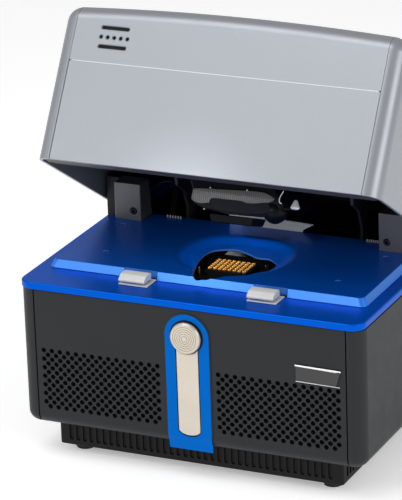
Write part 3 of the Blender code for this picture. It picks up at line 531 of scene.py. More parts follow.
M = {
    "graphite": moulded("graphite_plastic", (0.0150, 0.0168, 0.0185), 0.46, Specular_IOR_Level=0.27),
    "black": moulded("black_plastic", (0.006, 0.006, 0.0065), 0.55, Specular_IOR_Level=0.2),
    "rear": moulded("rear_plastic", (0.012, 0.011, 0.012), 0.5, Specular_IOR_Level=0.3),
    "rubber": moulded("foot_rubber", (0.012, 0.012, 0.012), 0.8, grain=1400.0, depth=0.00008),
    "blue": metallic_gloss("gloss_blue", (0.0, 0.100, 0.60), 0.34, 0.55, 0.0),
    # The deck's flat blue is its paint; the dish and edge colours after it are painted light.
    "deck_blue_painted_light": deck_paint_with_painted_light("deck_blue_painted_light", (0.0, 0.088, 0.50), (0.0, 0.17, 1.0),
                              (0.09, 0.30, 0.85), 0.32, 0.45),
    "trim_blue": metallic_gloss("trim_blue", (0.0, 0.132, 0.54), 0.42, 0.55, 0.0),
    # Dark navy for the ring round the front trim: painted shade for the gap around it.
    "gap_painted_shade": moulded("gap_painted_shade", (0.002, 0.006, 0.022), 0.5),
    "screw_blue": cast("screw_blue", (0.12, 0.26, 0.75), 0.22, 0.8),
    "silver": painted_silver("silver_paint", (0.320, 0.340, 0.372), 0.38),
    # Pale paint for the strip in the lid's groove: a painted highlight.
    "groove_highlight": painted_silver("groove_highlight_paint", (0.70, 0.72, 0.75), 0.45),
    "flange": moulded("flange_plastic", (0.035, 0.036, 0.040), 0.5),
    "champagne": cast("champagne_metal", (0.66, 0.60, 0.51), 0.34, 0.55, depth=0.00002),
    "bright": cast("bright_metal", (0.78, 0.78, 0.79), 0.16, depth=0.00002),
    "satin_sheet": brushed("satin_sheet", (0.92, 0.92, 0.86), 0.5, "X", 0.1),
    "aluminium": brushed("aluminium", (0.66, 0.67, 0.68), 0.35, "Y"),
    "steel": brushed("steel", (0.55, 0.55, 0.56), 0.3, "X"),
    "dark_steel": cast("dark_steel", (0.05, 0.05, 0.05), 0.35, 0.9),
    "black_metal": moulded("black_metal", (0.0035, 0.0035, 0.0045), 0.6, Specular_IOR_Level=0.15),
    "arm": brushed("arm_metal", (0.07, 0.07, 0.07), 0.4, "Z", 0.5),
    "post": brushed("post_metal", (0.155, 0.155, 0.15), 0.45, "Z", 0.5),
    "bronze": cast("bearing_bronze", (0.50, 0.32, 0.14), 0.4),
    "gold": cast("gold_plate", (0.95, 0.55, 0.14), 0.25, 0.8, depth=0.00002),
    "ceramic": moulded("ceramic", (0.78, 0.78, 0.75), 0.5),
    "board": moulded("circuit_board", (0.015, 0.12, 0.05), 0.4),
    "navy": moulded("navy_plastic", (0.0035, 0.0045, 0.0100), 0.45, Specular_IOR_Level=0.1),
    "nose": moulded("nose_plastic", (0.0025, 0.0048, 0.0075), 0.38, Specular_IOR_Level=0.12),
    "flutes": fluted("fluted_metal", (0.125, 0.125, 0.125), 0.45, 0.0021),
    "cream": moulded("cream_plastic", (0.66, 0.67, 0.66), 0.42, mottle=0.02),
    "pale": cast("pale_metal", (0.90, 0.91, 0.93), 0.28, 0.25, depth=0.00002),
    "badge": brushed("badge_metal", (0.060, 0.060, 0.060), 0.38, "X", 0.6),
    # Near-black sheet set behind the front grille holes: painted shade for the dark inside of the
    # unit.
    "hole_shade": moulded("grille_shade_sheet", (0.0015, 0.0015, 0.0015), 0.9, grain=700.0, depth=0.0002),
    # Dark sheet set behind the lid's vent holes: painted shade for the dark inside of the lid.
    "vent_hole_shade": moulded("vent_shade_sheet", (0.035, 0.036, 0.038), 0.9, grain=700.0, depth=0.0002),
}


# ---------------------------------------------------------------- base casing
def body_shell():
    """The body's skin, open at the top."""
    outer = casing((-BODY_HALF, 0, BODY_BOTTOM), (BODY_HALF, DEPTH, BODY_TOP), BODY_CORNER,
                   BODY_EDGE, "bottom")
    inner = casing((-BODY_HALF + SKIN, SKIN, BODY_BOTTOM + SKIN),
                   (BODY_HALF - SKIN, DEPTH - SKIN, BODY_TOP + BEYOND),
                   BODY_CORNER - SKIN, BODY_EDGE - SKIN, "bottom")
    return combined(outer, inner)


def grille_holes():
    """Two fields of round holes, each a grid with a second grid set in its gaps."""
    pieces = []
    for start, pitch in GRILLE_FIELDS:
        for i in range(GRILLE_COLUMNS):
            for j in range(GRILLE_ROWS):
                x, z = start + pitch * i, GRILLE_TOP - GRILLE_DROP * j
                spots = [(x, z)]
                if i < GRILLE_COLUMNS - 1:
                    spots.append((x + pitch / 2, z - GRILLE_DROP / 2))
                for u, v in spots:
                    pieces.append(prism(circle(u, v, GRILLE_RADIUS, 14), "Y", -BEYOND, BEYOND))
    return merged(pieces)


def make_base():
    for side, sign in (("left", -1), ("right", 1)):
        near, far = sorted((sign * (SEAM + 0.0010), sign * 0.19))
        cover = combined(body_shell(), plain_block((near, -0.01, 0.02), (far, DEPTH + 0.01, 0.2)),
                         "INTERSECT")
        node = f"side_cover_{side}"
        add(node + "_skin", soften(cover, 0.0005, 2), M["graphite"], "base", (node,))

    front = combined(body_shell(), plain_block((-SEAM, -0.01, 0.02), (SEAM, 0.017, 0.2)),
                     "INTERSECT")
    soften(front, 0.0005, 2)
    front = combined(front, grille_holes())
    front = combined(front, cylinder("Y", (0, 0, BUTTON_Z), 0.006, -0.01, 0.01))
    add("front_panel_perforated", front, M["graphite"], "base",
        ("front_panel",))
    # A near-black sheet just behind the grille holes: painted shade for the unit's dark inside.
    add("grille_shade_sheet", block((-0.153, 0.0040, 0.045), (0.153, 0.0050, 0.120), 0.0002, 1),
        M["hole_shade"], "base")

    softened("rear_panel", M["graphite"], "base", 0.0004, 2)
    softened("base_plate", M["steel"], "base", 0.0003, 1)
    make_tray()


def make_tray():
    """Tray whose walls are cut by upright slots with round lower ends."""
    half, front, rear, low, high = 0.1456, 0.017, 0.291, 0.0085, 0.0332
    wall = 0.0025
    tray = prism(rounded(-half, front, half, rear, 0.003, 4), "Z", low, high)
    soften(tray, 0.0012, 3)
    tray = combined(tray, plain_block((-half + wall, front + wall, low + 0.0025),
                                      (half - wall, rear - wall, high + 0.01)))
    slots = []
    pitch, radius, cut = 0.0070, 0.0021, 0.0015
    for axis, middle, count, near, far in (("Y", 0, 19, front, rear),
                                           ("X", (front + rear) / 2, 18, -half, half)):
        for i in range(-count, count + 1):
            u = middle + i * pitch
            outline = arc(u, low + 0.0072, radius, 180, 360, 8)
            outline += [(u + radius, high + BEYOND), (u - radius, high + BEYOND)]
            slots.append(prism(outline, axis, near - BEYOND, near + cut))
            slots.append(prism(outline, axis, far - cut, far + BEYOND))
    add("base_tray_ribbed", combined(tray, merged(slots)), M["black"], "base",
        ("base_tray",))
    for end, y in (("front", 0.036), ("rear", 0.272)):
        for side, sign in (("left", -1), ("right", 1)):
            node = f"foot_{end}_{side}"
            profile = [(0, 0), (0.0072, 0), (0.0088, 0.0006), (0.0095, 0.0020), (0.0095, 0.0062),
                       (0.0090, 0.0074), (0.0078, 0.0082), (0, 0.0082)]
            add(node + "_round", turned(profile, "Z", (sign * 0.128, y, 0)), M["rubber"], "base",
                (node,))


# ---------------------------------------------------------------- blue rim and deck
def make_deck():
    rim = prism(rounded(-HALF_WIDTH - 0.001, -0.002, HALF_WIDTH + 0.001, DEPTH, RIM_CORNER, 14), "Z",
                RIM_BOTTOM, RIM_TOP)
    soften(rim, 0.0016, 4)
    rim = combined(rim, prism(rounded(-0.1545, 0.0428, 0.1545, 0.301, 0.006, 4), "Z",
                              RIM_BOTTOM - BEYOND, RIM_TOP + BEYOND))
    add("rim_bezel_soft", rim, M["blue"], "base", ("rim_bezel",))

    step = POST_FRONT + 0.0137
    gap = 0.0003
    half = arc(DECK_HALF - DECK_CORNER, DECK_FRONT + DECK_CORNER, DECK_CORNER, -90, 0, 8)
    half += [(DECK_HALF, step), (POST_OUT + gap, step), (POST_OUT + gap, POST_FRONT - gap),
             (POST_IN - gap, POST_FRONT - gap), (POST_IN - gap, DECK_REAR)]
    outline = half + [(-x, y) for x, y in reversed(half)]
    deck = prism(outline, "Z", DECK_BOTTOM, DECK_TOP)
    for vert in deck.verts:
        if vert.co.z > DECK_TOP - 0.001:
            if vert.co.y < DECK_FRONT + DECK_CORNER + 0.0001:
                vert.co.y += DECK_SLOPE
            if abs(vert.co.x) > DECK_HALF - DECK_CORNER - 0.0001:
                vert.co.x -= math.copysign(DECK_SLOPE, vert.co.x)
    for sign in (-1, 1):
        low, high = sorted((sign * 0.0485, sign * 0.0835))
        deck = combined(deck, prism(rounded(low, DECK_FRONT - 0.006, high, DECK_FRONT + 0.0045,
                                            0.0025, 5), "Z", DECK_BOTTOM - BEYOND,
                                    DECK_TOP + BEYOND))
    soften(deck, 0.0009, 3)

    levels = [(1.06, DECK_TOP + 0.002), (1.03, DECK_TOP + 0.0002)]
    steps = 14
    for i in range(1, steps + 1):
        t = i / steps
        drop = (DECK_TOP - DISH_FLOOR) * 0.5 * (1 - math.cos(math.pi * t))
        levels.append((1.02 - 0.32 * t, DECK_TOP - drop))
    deck = combined(deck, loft([[(DISH_X + DISH_HALF_X * u * scale, DISH_Y + DISH_HALF_Y * v * scale,
                                  z) for u, v in superellipse(2.5, 96)] for scale, z in levels]))
    opening = smooth_loop([(-0.014, 0.046), (-0.024, 0.072), (-0.0325, 0.104), (-0.030, 0.128),
                           (-0.012, 0.138), (0.005, 0.132), (0.017, 0.125), (0.030, 0.1245),
                           (0.042, 0.113), (0.043, 0.093), (0.035, 0.066), (0.016, 0.055),
                           (0.009, 0.046), (-0.002, 0.0435)], 8)
    deck = combined(deck, prism(opening, "Z", DECK_BOTTOM - BEYOND, DECK_TOP + BEYOND))
    spots = (("front_left", -0.119, 0.078), ("front_right", 0.119, 0.078),
             ("rear_left", -0.137, 0.152), ("rear_right", 0.137, 0.152))
    for where, x, y in spots:
        deck = combined(deck, cylinder("Z", (x, y, 0), 0.0030, DECK_TOP - 0.003,
                                       DECK_TOP + BEYOND, 20))
        add(f"deck_screw_{where}_head", screw_head((x, y, DECK_TOP - 0.0002), 0.0027),
            M["screw_blue"], "base", (f"deck_screw_{where}",))
    add("deck_cover_dished", deck, M["deck_blue_painted_light"], "base", ("deck_cover",), sharp=24.0)


def screw_head(top, radius, facing="up"):
    """A low domed head with two crossed slots, facing up or to the front."""
    profile = [(0, -0.0024), (radius, -0.0024), (radius, -0.0007), (radius * 0.92, -0.0003),
               (radius * 0.7, 0), (0, 0)]
    mesh = turned(profile, "Z", (0, 0, 0), 24)
    arm, half = radius * 0.66, radius * 0.14
    outline = [(-half, -arm), (half, -arm), (half, -half), (arm, -half), (arm, half),
               (half, half), (half, arm), (-half, arm), (-half, half), (-arm, half),
               (-arm, -half), (-half, -half)]
    mesh = combined(mesh, prism(outline, "Z", -0.0012, 0.01))
    if facing == "front":
        mesh.transform(Matrix.Rotation(math.radians(90), 4, "X"))
    mesh.transform(Matrix.Translation(Vector(top)))
    return mesh


# ---------------------------------------------------------------- front fittings
def trim_outline(half, low):
    return arc(0, BUTTON_Z, half, 0, 180, 40) + [(-half, low), (half, low)]


def window_outline(half, radius, low):
    lip = math.degrees(math.acos(half / radius))
    points = arc(0, BUTTON_Z, radius, -lip, 180 + lip, 48)
    points += [(u, low + (v - low) * 0.62) for u, v in arc(0, low, half, 180, 360, 20)]
    return points


def make_front():
    low = BAR_BOTTOM + 0.0065
    face, skin = -0.0012, -0.0003
    bend = BODY_BOTTOM + BODY_EDGE
    profile = [(face, 0.18), (skin, 0.18), (skin, bend)]
    profile += [(u + skin, v) for u, v in arc(BODY_EDGE, bend, BODY_EDGE, 180, 232, 8)][1:]
    profile += [(0.0015, TRIM_BOTTOM)]
    profile += [(u + face, v) for u, v in arc(BODY_EDGE + 0.002, bend, BODY_EDGE + 0.002, 205, 180, 5)]
    trim = combined(prism(profile, "X", -0.03, 0.03),
                    prism(trim_outline(TRIM_HALF, 0.02), "Y", -0.01, 0.02), "INTERSECT")
    trim = combined(trim, prism(window_outline(0.0118, 0.0166, low), "Y", -0.01, 0.0022))
    add("centre_trim_soft", soften(trim, 0.0004, 3), M["trim_blue"], "base",
        ("centre_trim",), sharp=40.0)
    # A dark ring just wider than the trim, standing proud of the panel: painted shade for the gap
    # round the trim.
    line = prism(trim_outline(TRIM_HALF + 0.0013, BODY_BOTTOM + 0.011), "Y", -0.00055, 0.0001)
    line = combined(line, prism(trim_outline(TRIM_HALF + 0.0001, 0.03), "Y", -0.01, 0.01))
    add("trim_gap_shade", line, M["gap_painted_shade"], "base")

    rings = []
    bar_low = BAR_BOTTOM + 0.006
    outline = [(u, bar_low - (bar_low - v) * 0.5)
               for u, v in arc(0, bar_low, BAR_HALF, 180, 360, 24)]
    reach = BUTTON_RADIUS + 0.0008
    lip = math.degrees(math.acos(BAR_HALF / reach))
    outline += arc(0, BUTTON_Z, reach, -lip, -180 + lip, 24)
    for inset, y in ((0.0, -0.0003), (0.0, -0.0010), (0.0003, -0.0015), (0.0010, -0.0018),
                     (0.0022, -0.0020)):
        scale = (BAR_HALF - inset) / BAR_HALF
        ring = []
        for u, v in outline:
            if v > bar_low + 0.001:
                v = BUTTON_Z - math.sqrt((reach + inset) ** 2 - (u * scale) ** 2)
            else:
                v += inset * 0.6
            ring.append((u * scale, y, v))
        rings.append(ring)
    add("status_bar_soft", loft(rings), M["champagne"], "base",
        ("status_bar",), sharp=50.0)

    face, back, edge = -0.0060, -0.0020, BUTTON_RADIUS
    profile = [(0, 0.0065), (0.0040, 0.0065), (0.0040, back), (edge - 0.0010, back),
               (edge, back - 0.0010), (edge, face + 0.0022), (edge - 0.0004, face + 0.0010),
               (edge - 0.0013, face + 0.0002), (edge - 0.0022, face)]
    radius = edge - 0.0030
    while radius > 0.0020:
        profile += [(radius, face), (radius - 0.0003, face + 0.0007),
                    (radius - 0.0008, face + 0.0007), (radius - 0.0011, face)]
        radius -= 0.0022
    profile.append((0, face))
    add("front_button_turned", turned(profile, "Y", (0, 0, BUTTON_Z), 96), M["champagne"],
        "front_button", ("front_button",), sharp=30.0)

    badge = [(0.1085, 0.1150), (0.1480, 0.1145), (0.1525, 0.1290), (0.1085, 0.1304)]
    add("badge_plate_soft", soften(prism(badge, "Y", -0.0012, -0.0003), 0.0002, 2), M["badge"],
        "base", ("badge_plate",))
    top = [(0.1078, 0.1296), (0.1478, 0.1284), (0.1500, 0.1290), (0.1530, 0.1290),
           (0.1530, 0.1302), (0.1500, 0.1304), (0.1078, 0.1310)]
    add("badge_top_edge", soften(prism(top, "Y", -0.0016, -0.0011), 0.0001, 1), M["bright"],
        "base")
    low_edge = [(0.1085, 0.1146), (0.1520, 0.1140), (0.1520, 0.1145), (0.1085, 0.1152)]
    add("badge_low_edge", prism(low_edge, "Y", -0.0014, -0.0011), M["bright"], "base")

    for side, sign in (("left", -1), ("right", 1)):
        x, half = sign * CATCH_X, CATCH_HALF
        plate = block((x - half, 0.0203, RIM_TOP + 0.0003),
                      (x + half + 0.0030, 0.0410, RIM_TOP + 0.0015), 0.0004, 2)
        add(f"catch_plate_{side}_soft", plate, M["cream"], "base",
            (f"catch_plate_{side}",))
        profile = [(0.0205, 0.1806), (0.0203, 0.1822), (0.0212, 0.1834), (0.0262, 0.1864),
                   (0.0300, 0.1869), (0.0352, 0.1869), (0.0367, 0.1858), (0.0368, 0.1806)]
        hood = soften(prism(profile, "X", x - half, x + half), 0.0005, 3, 20.0)
        add(f"lid_catch_{side}_soft", hood, M["cream"], f"catch_{side}",
            (f"lid_catch_{side}",))


# ---------------------------------------------------------------- sample block
def make_block():
    hx, hy = 0.0215, 0.0148
    spots = [((i - 3.5) * 0.0050, BLOCK_Y + (j - 2.5) * 0.0044)
             for i in range(8) for j in range(6)]
    core = block((-hx, BLOCK_Y - hy, 0.1635), (hx, BLOCK_Y + hy, BLOCK_TOP - 0.0012), 0.0005, 2)
    core = combined(core, merged([cylinder("Z", (x, y, 0), 0.0015, BLOCK_TOP - 0.006,
                                           BLOCK_TOP + 0.001, 12) for x, y in spots]))
    add("thermal_block_body", core, M["black_metal"], "base", ("thermal_block",))
    cups = []
    for x, y in spots:
        cups.append(turned([(0, BLOCK_TOP - 0.0055), (0.0015, BLOCK_TOP - 0.0050),
                            (0.0021, BLOCK_TOP - 0.0011), (0.0022, BLOCK_TOP - 0.0003),
                            (0.0021, BLOCK_TOP), (0.0017, BLOCK_TOP - 0.0001),
                            (0.0015, BLOCK_TOP - 0.0008), (0.0008, BLOCK_TOP - 0.0030),
                            (0, BLOCK_TOP - 0.0034)], "Z", (x, y, 0), 18))
    add("thermal_block_cups", merged(cups), M["gold"], "base")
    softened("well_frame", M["black"], "base", 0.0006, 3)
    add("frame_pin", rod((-0.0275, 0.090, 0.170), (-0.0275, 0.090, BLOCK_TOP), 0.0009), M["gold"],
        "base")
    add("frame_clip", block((0.0060, 0.0790, 0.1700), (0.0140, 0.0850, FRAME_TOP), 0.0006, 2),
        M["bronze"], "base")
    for name, x, y in (("a", -0.018, 0.129), ("b", 0.026, 0.127)):
        add(f"frame_screw_{name}", screw_head((x, y, FRAME_TOP), 0.0026), M["dark_steel"], "base")
    for node, key in (("peltier_module", "ceramic"), ("heat_sink", "aluminium"),
                      ("air_duct", "steel")):
        frame["nodes"][node].data.materials.clear()
        frame["nodes"][node].data.materials.append(M[key])


# ---------------------------------------------------------------- lid
def crown(mesh, cuts=24):
    """Cut the lid into strips and raise its top to a shallow arch from side to side."""
    for i in range(1, cuts):
        x = -HALF_WIDTH + 2 * HALF_WIDTH * i / cuts
        bmesh.ops.bisect_plane(mesh, geom=mesh.verts[:] + mesh.edges[:] + mesh.faces[:],
                               plane_co=(x, 0, 0), plane_no=(1, 0, 0))
    for vert in mesh.verts:
        if vert.co.z > LID_GROOVE + 0.01:
            vert.co.z += LID_CROWN * (1 - (vert.co.x / HALF_WIDTH) ** 2)
    return mesh


def lid_shell():
    """The lid's skin, open at the bottom."""
    outer = casing((-HALF_WIDTH, 0, LID_BOTTOM), (HALF_WIDTH, LID_DEPTH, LID_TOP), CORNER,
                   LID_EDGE, "top")
    inner = casing((-HALF_WIDTH + SKIN, SKIN, LID_BOTTOM - 2 * BEYOND),
                   (HALF_WIDTH - SKIN, LID_DEPTH - SKIN, LID_TOP - SKIN),
                   CORNER - SKIN, LID_EDGE - SKIN, "top")
    return combined(crown(outer), crown(inner))


def vent_outlines(slot_half, hole_radius):
    """The two slots, and the row of round holes between them, at the lid's upper left."""
    slots = [arc(VENT_RIGHT, z, slot_half, -90, 90, 10) + arc(VENT_LEFT, z, slot_half, 90, 270, 10)
             for z in (VENT_HOLES_Z + VENT_GAP, VENT_HOLES_Z - VENT_GAP)]
    holes = [circle(VENT_HOLES_X + VENT_PITCH * k, VENT_HOLES_Z, hole_radius, 20)
             for k in range(5)]
    return slots + holes


def make_lid():
    wedge = [(LID_CUT_Y, LID_BOTTOM - 0.01), (LID_CUT_Y, LID_BOTTOM), (LID_DEPTH, LID_CUT_Z),
             (LID_DEPTH + 0.02, LID_CUT_Z), (LID_DEPTH + 0.02, LID_BOTTOM - 0.01)]
    for side, sign in (("left", -1), ("right", 1)):
        near, far = sorted((sign * (SEAM + 0.0004), sign * 0.19))
        piece = combined(lid_shell(), plain_block((near, -0.01, 0.1), (far, 0.32, 0.4)),
                         "INTERSECT")
        piece = combined(piece, prism(wedge, "X", -0.2, 0.2))
        node = f"lid_side_{side}"
        add(node + "_skin", soften(piece, 0.0005, 2, 40.0), M["silver"], "lid",
            (node,))

    front = combined(lid_shell(), plain_block((-SEAM, -0.01, 0.1),
                                              (SEAM, 0.05, LID_GROOVE - 0.0003)), "INTERSECT")
    add("lid_front_skin", soften(front, 0.0006, 3, 40.0), M["silver"], "lid",
        ("lid_front_panel",))

    keep = [(-0.01, LID_GROOVE + 0.0003), (0.06, LID_GROOVE + 0.0003), (0.2, 0.29), (0.29, 0.29),
            (0.29, LID_CUT_Z), (0.33, LID_CUT_Z), (0.33, 0.4), (-0.01, 0.4)]
    top = combined(lid_shell(), prism(keep, "X", -SEAM, SEAM), "INTERSECT")
    soften(top, 0.0006, 3, 40.0)
    vents = vent_outlines(VENT_HALF, VENT_HALF)
    top = combined(top, merged([prism(outline, "Y", -BEYOND, BEYOND) for outline in vents]))
    add("lid_top_skin", top, M["silver"], "lid", ("lid_top_cover",))
    rims = [lip(outer, inner) for outer, inner in zip(vent_outlines(0.0025, 0.0024), vents)]
    add("lid_vent_lips", merged(rims), M["silver"], "lid")
    # A dark sheet just behind the vent holes: painted shade for the lid's dark inside.
    add("lid_vent_shade_sheet", block((-0.135, 0.0038, 0.284), (-0.096, 0.0048, 0.314), 0.0002, 1),
        M["vent_hole_shade"], "lid")

    # A pale strip set in the parting groove: painted highlight for the lit edge of the groove.
    groove_highlight = prism([(0.0002, LID_GROOVE - 0.0004), (0.0002, LID_GROOVE + 0.0004),
                  (0.0020, LID_GROOVE + 0.0004), (0.0020, LID_GROOVE - 0.0004)], "X",
                 -SEAM + 0.002, SEAM - 0.002)
    add("lid_groove_highlight", groove_highlight, M["groove_highlight"], "lid")
    flange = block((-0.1660, 0.0032, 0.1784), (0.1660, 0.0196, 0.1794), 0.0003, 2)
    add("lid_front_return", flange, M["flange"], "lid")
    inner_edge = block((-0.1640, 0.0182, 0.1781), (0.1640, 0.0196, 0.1784), 0.0001, 1)
    add("lid_return_edge", inner_edge, M["arm"], "lid")
    softened("lid_frame", M["black_metal"], "lid", 0.0004, 2)
    for side in ("left", "right"):
        softened(f"lid_arm_{side}", M["black_metal"], "lid", 0.0006, 2)
    softened("hinge_shaft", M["steel"], "lid", 0.0004, 2)


def lip(outer, inner):
    """A thin raised rim on the lid's face, sloping into the hole."""
    rings = [[(u, -0.00005, v) for u, v in outer], [(u, -0.0004, v) for u, v in
             [((a + c) / 2, (b + d) / 2) for (a, b), (c, d) in zip(outer, inner)]],
             [(u, 0.0006, v) for u, v in inner], [(u, 0.0006, v) for u, v in outer]]
    return loft(rings, close=True)


# ---------------------------------------------------------------- optics head
def pillow(outline, front, back, edge, steps=5):
    """An upright outline drawn back along Y, its front edge rounded."""
    cu = sum(u for u, v in outline) / len(outline)
    cv = sum(v for u, v in outline) / len(outline)
    size = max(abs(u - cu) for u, v in outline)
    rings = [[(u, back, v) for u, v in outline]]
    for i in range(steps + 1):
        t = math.radians(90 * i / steps)
        scale = 1 - edge * (1 - math.cos(t)) / size
        y = front + edge * (1 - math.sin(t))
        rings.append([(cu + (u - cu) * scale, y, cv + (v - cv) * scale) for u, v in outline])
    return loft(rings)


def make_head():
    lower = [(-0.0385, 0.2240), (-0.0398, 0.2030), (-0.0393, 0.1962), (-0.0330, 0.1915),
             (-0.0155, 0.1888), (-0.0010, 0.1872), (0.0114, 0.1876), (0.0210, 0.1879),
             (0.0342, 0.1886), (0.0470, 0.1930), (0.0530, 0.2010), (0.0490, 0.2090),
             (0.0440, 0.2150), (0.0400, 0.2240)]
    body = combined(pillow(smooth_loop(lower, 5), 0.0835, 0.1560, 0.0035),
                    plain_block((-0.06, 0.0868, 0.17), (0.06, 0.17, 0.1975)))
    bump = [(-0.0206, 0.1998), (-0.0150, 0.2012), (-0.0051, 0.2012), (0.0104, 0.2013),
            (0.0166, 0.2001), (0.0260, 0.2006), (0.0332, 0.2019), (0.0400, 0.2020),
            (0.0420, 0.1930), (0.0200, 0.1895), (-0.0100, 0.1900), (-0.0210, 0.1920)]
    body = merged([body, pillow(smooth_loop(bump, 5), 0.0808, 0.0850, 0.0020)])
    add("head_body_waved", body, M["navy"], "optics_head", ("head_body",),
        sharp=40.0)
    radius = 0.0118
    nose = [(0, 0.0925 - radius)]
    nose += [(radius * math.sin(math.radians(a)), 0.0925 - radius * math.cos(math.radians(a)))
             for a in range(9, 91, 9)]
    nose += [(radius * 0.92, 0.0975), (0, 0.0975)]
    add("head_nose", turned(nose, "Y", (0.0421, 0, 0.1950), 48), M["nose"], "optics_head")

    pill = [(-0.0398, 0.1968), (-0.0400, 0.2052), (-0.0377, 0.2082), (-0.0155, 0.2097),
            (0.0104, 0.2111), (0.0259, 0.2119), (0.0353, 0.2115), (0.0415, 0.2094),
            (0.0440, 0.2066), (0.0415, 0.2035), (0.0332, 0.2000), (0.0166, 0.1985),
            (-0.0200, 0.1960), (-0.0310, 0.1944)]
    add("head_cover_pill", pillow(smooth_loop(pill, 5), 0.0815, 0.0860, 0.0026), M["flutes"],
        "optics_head", sharp=40.0)
    softened("head_cover", M["black_metal"], "optics_head", 0.0012, 3)
    softened("head_bridge", M["black_metal"], "optics_head", 0.0004, 2)
    for side in ("left", "right"):
        softened(f"head_arm_{side}", M["arm"], "optics_head", 0.0004, 3)

    knob = [(0, 0.1990), (0.0030, 0.1990), (0.0042, 0.2000), (0.0044, 0.2012), (0.0032, 0.2038),
            (0.0022, 0.2062), (0.0012, 0.2078), (0, 0.2082)]
    stem = rod((0.0480, 0.0880, 0.1985), (0.0640, 0.0870, 0.1995), 0.0016, 10)
    add("head_side_knob", turned(knob, "Z", (0.0640, 0.0865, 0), 32), M["pale"],
        "optics_head")
    add("head_knob_stem", stem, M["nose"], "optics_head")
    bend = [(0.0520, 0.0830, 0.2150), (0.0500, 0.0830, 0.2110), (0.0488, 0.0825, 0.2075),
            (0.0492, 0.0825, 0.2040), (0.0515, 0.0830, 0.2032)]
    wire = [rod(a, b, 0.0005, 8) for a, b in zip(bend, bend[1:])]
    add("head_lead", merged(wire), M["satin_sheet"], "optics_head")
    for name, x, z in (("a", -0.0210, 0.2102), ("b", 0.0165, 0.2118), ("c", -0.0250, 0.1898)):
        add(f"head_rivet_{name}", screw_head((x, HEAD_FRONT, z), 0.0010, "front"), M["bright"],
            "optics_head")

    plate = loft([[(sx * half, BLOCK_Y + sy * (half - 0.0065), z) for sx, sy in
                   ((-1, -1), (1, -1), (1, 1), (-1, 1))]
                  for half, z in ((0.0200, 0.1784), (0.0208, 0.1790), (0.0225, 0.1858))])
    add("heated_plate_soft", soften(plate, 0.0006, 3), M["black_metal"], "heated_plate",
        ("heated_plate",))
    softened("filter_wheel", M["black_metal"], "filter_wheel", 0.0004, 2)


# ---------------------------------------------------------------- posts and back
def make_back():
    for side, sign in (("left", -1), ("right", 1)):
        softened(f"hinge_post_{side}", M["post"], "base", 0.0010, 3)
        softened(f"hinge_bush_{side}", M["bronze"], "base", 0.0003, 1)
        x = sign * 0.132
        head = turned([(0, -0.0003), (0.0026, -0.0003), (0.0031, 0.0002), (0.0033, 0.0010),
                       (0.0033, 0.0075), (0, 0.0075)], "Y", (x, POST_FRONT, CAP_Z), 32)
        head = combined(head, prism(circle(x, CAP_Z, 0.0017, 6), "Y", POST_FRONT - BEYOND,
                                    POST_FRONT + 0.0028))
        add(f"post_screw_{side}_cap", head, M["dark_steel"], "base",
            (f"post_screw_{side}",))
    softened("rear_cover", M["rear"], "base", 0.0008, 3)
    floor = cad_copy("rear_floor")
    sheet_front = FRONT + DECK_REAR + 0.0003
    for side, keep in (("floor", False), ("baffle", True)):
        piece = combined(floor.copy(), plain_block((-0.1, sheet_front, 0.1733),
                                                   (0.1, sheet_front + 0.0021, 0.21)),
                         "INTERSECT" if keep else "DIFFERENCE")
        key, slot = ("satin_sheet", "aluminium") if keep else ("black", "black_plastic")
        add(f"rear_{side}_soft", soften(piece, 0.0002, 1), M[key], "base",
            () if keep else ("rear_floor",), placed=True)
    floor.free()
    add("rear_inner_lip", block((-0.150, 0.2986, 0.1736), (0.150, 0.3004, 0.1830), 0.0002, 1),
        M["black"], "base")
    for side, first, last in (("left", -0.1040, -0.0900), ("right", 0.1050, 0.1160)):
        pins = [cylinder("Z", (first + (last - first) * k / 5, 0.1850, 0), 0.0006,
                         DECK_TOP - 0.0003, 0.1875, 10, 0.0002) for k in range(6)]
        add(f"pin_row_{side}", merged(pins), M["cream"], "base")
    for node, key, width in (("fan_housing", "black", 0.0004), ("power_inlet", "black", 0.0004),
                             ("usb_socket", "bright", 0.0002), ("power_supply", "aluminium", 0.0004),
                             ("main_board", "board", 0.0003)):
        softened(node, M[key], "base", width, 2)
    softened("fan_rotor", M["black"], "fan_rotor", 0.0003, 1)
    softened("power_switch", M["black"], "power_switch", 0.0004, 2)

    rings = [wire_ring(radius, 0.0008, "Y", (0, DEPTH + 0.0011, FAN_Z))
             for radius in (0.045, 0.034, 0.023, 0.012)]
    rings += [rod((-0.048, DEPTH + 0.0011, FAN_Z), (0.048, DEPTH + 0.0011, FAN_Z), 0.0008),
              rod((0, DEPTH + 0.0011, FAN_Z - 0.048), (0, DEPTH + 0.0011, FAN_Z + 0.048), 0.0008)]
    add("fan_guard_wire", merged(rings), M["bright"], "base", ("fan_guard",))


# ---------------------------------------------------------------- stage, light and camera
def make_stage():
    mesh = bmesh.new()
    corners = [mesh.verts.new(point) for point in ((-9, -6, 0), (9, -6, 0), (9, 12, 0), (-9, 12, 0))]
    mesh.faces.new(corners)
    data = bpy.data.meshes.new("floor")
    mesh.to_mesh(data)
    mesh.free()
    floor = bpy.data.objects.new("floor", data)
    bpy.context.scene.collection.objects.link(floor)
    paper = moulded("floor_paper", (0.93, 0.93, 0.93), 0.9, grain=300.0, mottle=0.004,
                    Emission_Color=(1.0, 1.0, 1.0, 1.0), Emission_Strength=0.36)
    data.materials.append(paper)

    world = bpy.data.worlds.new("studio")
    bpy.context.scene.world = world
    world.use_nodes = True
    background = world.node_tree.nodes["Background"]
    background.inputs["Color"].default_value = (1.0, 1.0, 1.0, 1.0)
    background.inputs["Strength"].default_value = 0.45


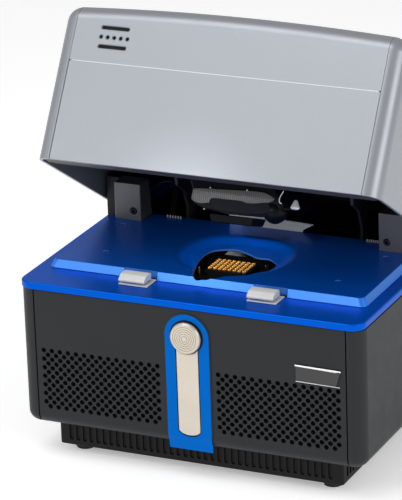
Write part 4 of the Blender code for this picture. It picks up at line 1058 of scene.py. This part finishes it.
def area_light(name, place, target, size, power):
    data = bpy.data.lights.new(name, "AREA")
    data.shape = "RECTANGLE"
    data.size, data.size_y = size
    data.energy = power
    light = bpy.data.objects.new(name, data)
    light.location = place
    light.rotation_mode = "QUATERNION"
    light.rotation_quaternion = (Vector(target) - Vector(place)).to_track_quat("-Z", "Y")
    bpy.context.scene.collection.objects.link(light)


def make_lights():
    area_light("key_top", (-0.6, -0.9, 2.2), (0, 0, 0.1), (1.6, 1.2), 17)
    area_light("side_right", (2.25, -0.75, 1.00), (0, 0, 0.2), (1.3, 1.2), 16)
    area_light("fill_left", (-2.2, -1.2, 0.9), (0, 0, 0.15), (1.0, 1.0), 3)
    area_light("front_soft", (-0.95, -2.05, 1.55), (0, 0, 0.15), (1.3, 0.5), 8)
    data = bpy.data.lights.new("dish_spot", "SPOT")
    data.energy, data.spot_size, data.spot_blend = 115, math.radians(3.1), 1.0
    data.shadow_soft_size = 0.05
    spot = bpy.data.objects.new("dish_spot", data)
    spot.location = (-0.35, -2.05, 1.42)
    spot.rotation_mode = "QUATERNION"
    spot.rotation_quaternion = (Vector((0.004, FRONT + 0.140, 0.18))
                                - spot.location).to_track_quat("-Z", "Y")
    bpy.context.scene.collection.objects.link(spot)


def make_camera():
    azimuth, elevation, roll = (math.radians(v) for v in (AZIMUTH, ELEVATION, ROLL))
    right = Vector((math.cos(azimuth), math.sin(azimuth), 0))
    back = Vector((math.sin(azimuth) * math.cos(elevation),
                   -math.cos(azimuth) * math.cos(elevation), math.sin(elevation)))
    up = back.cross(right)
    right, up = (math.cos(roll) * right + math.sin(roll) * up,
                 -math.sin(roll) * right + math.cos(roll) * up)
    data = bpy.data.cameras.new("camera")
    data.sensor_fit = "HORIZONTAL"
    data.sensor_width = SENSOR
    data.lens = LENS
    data.shift_x = SHIFT
    data.clip_start, data.clip_end = 0.1, 60.0
    camera = bpy.data.objects.new("camera", data)
    turn = Matrix((right, up, back)).transposed().to_4x4()
    place = BASE @ Vector(AIM) + turn.to_3x3() @ Vector(FROM_AIM)
    camera.matrix_world = Matrix.Translation(place) @ turn
    bpy.context.scene.collection.objects.link(camera)
    bpy.context.scene.camera = camera
    bpy.context.scene.view_settings.view_transform = "Standard"


make_base()
make_deck()
make_front()
make_block()
make_lid()
make_head()
make_back()
make_stage()
make_lights()
make_camera()
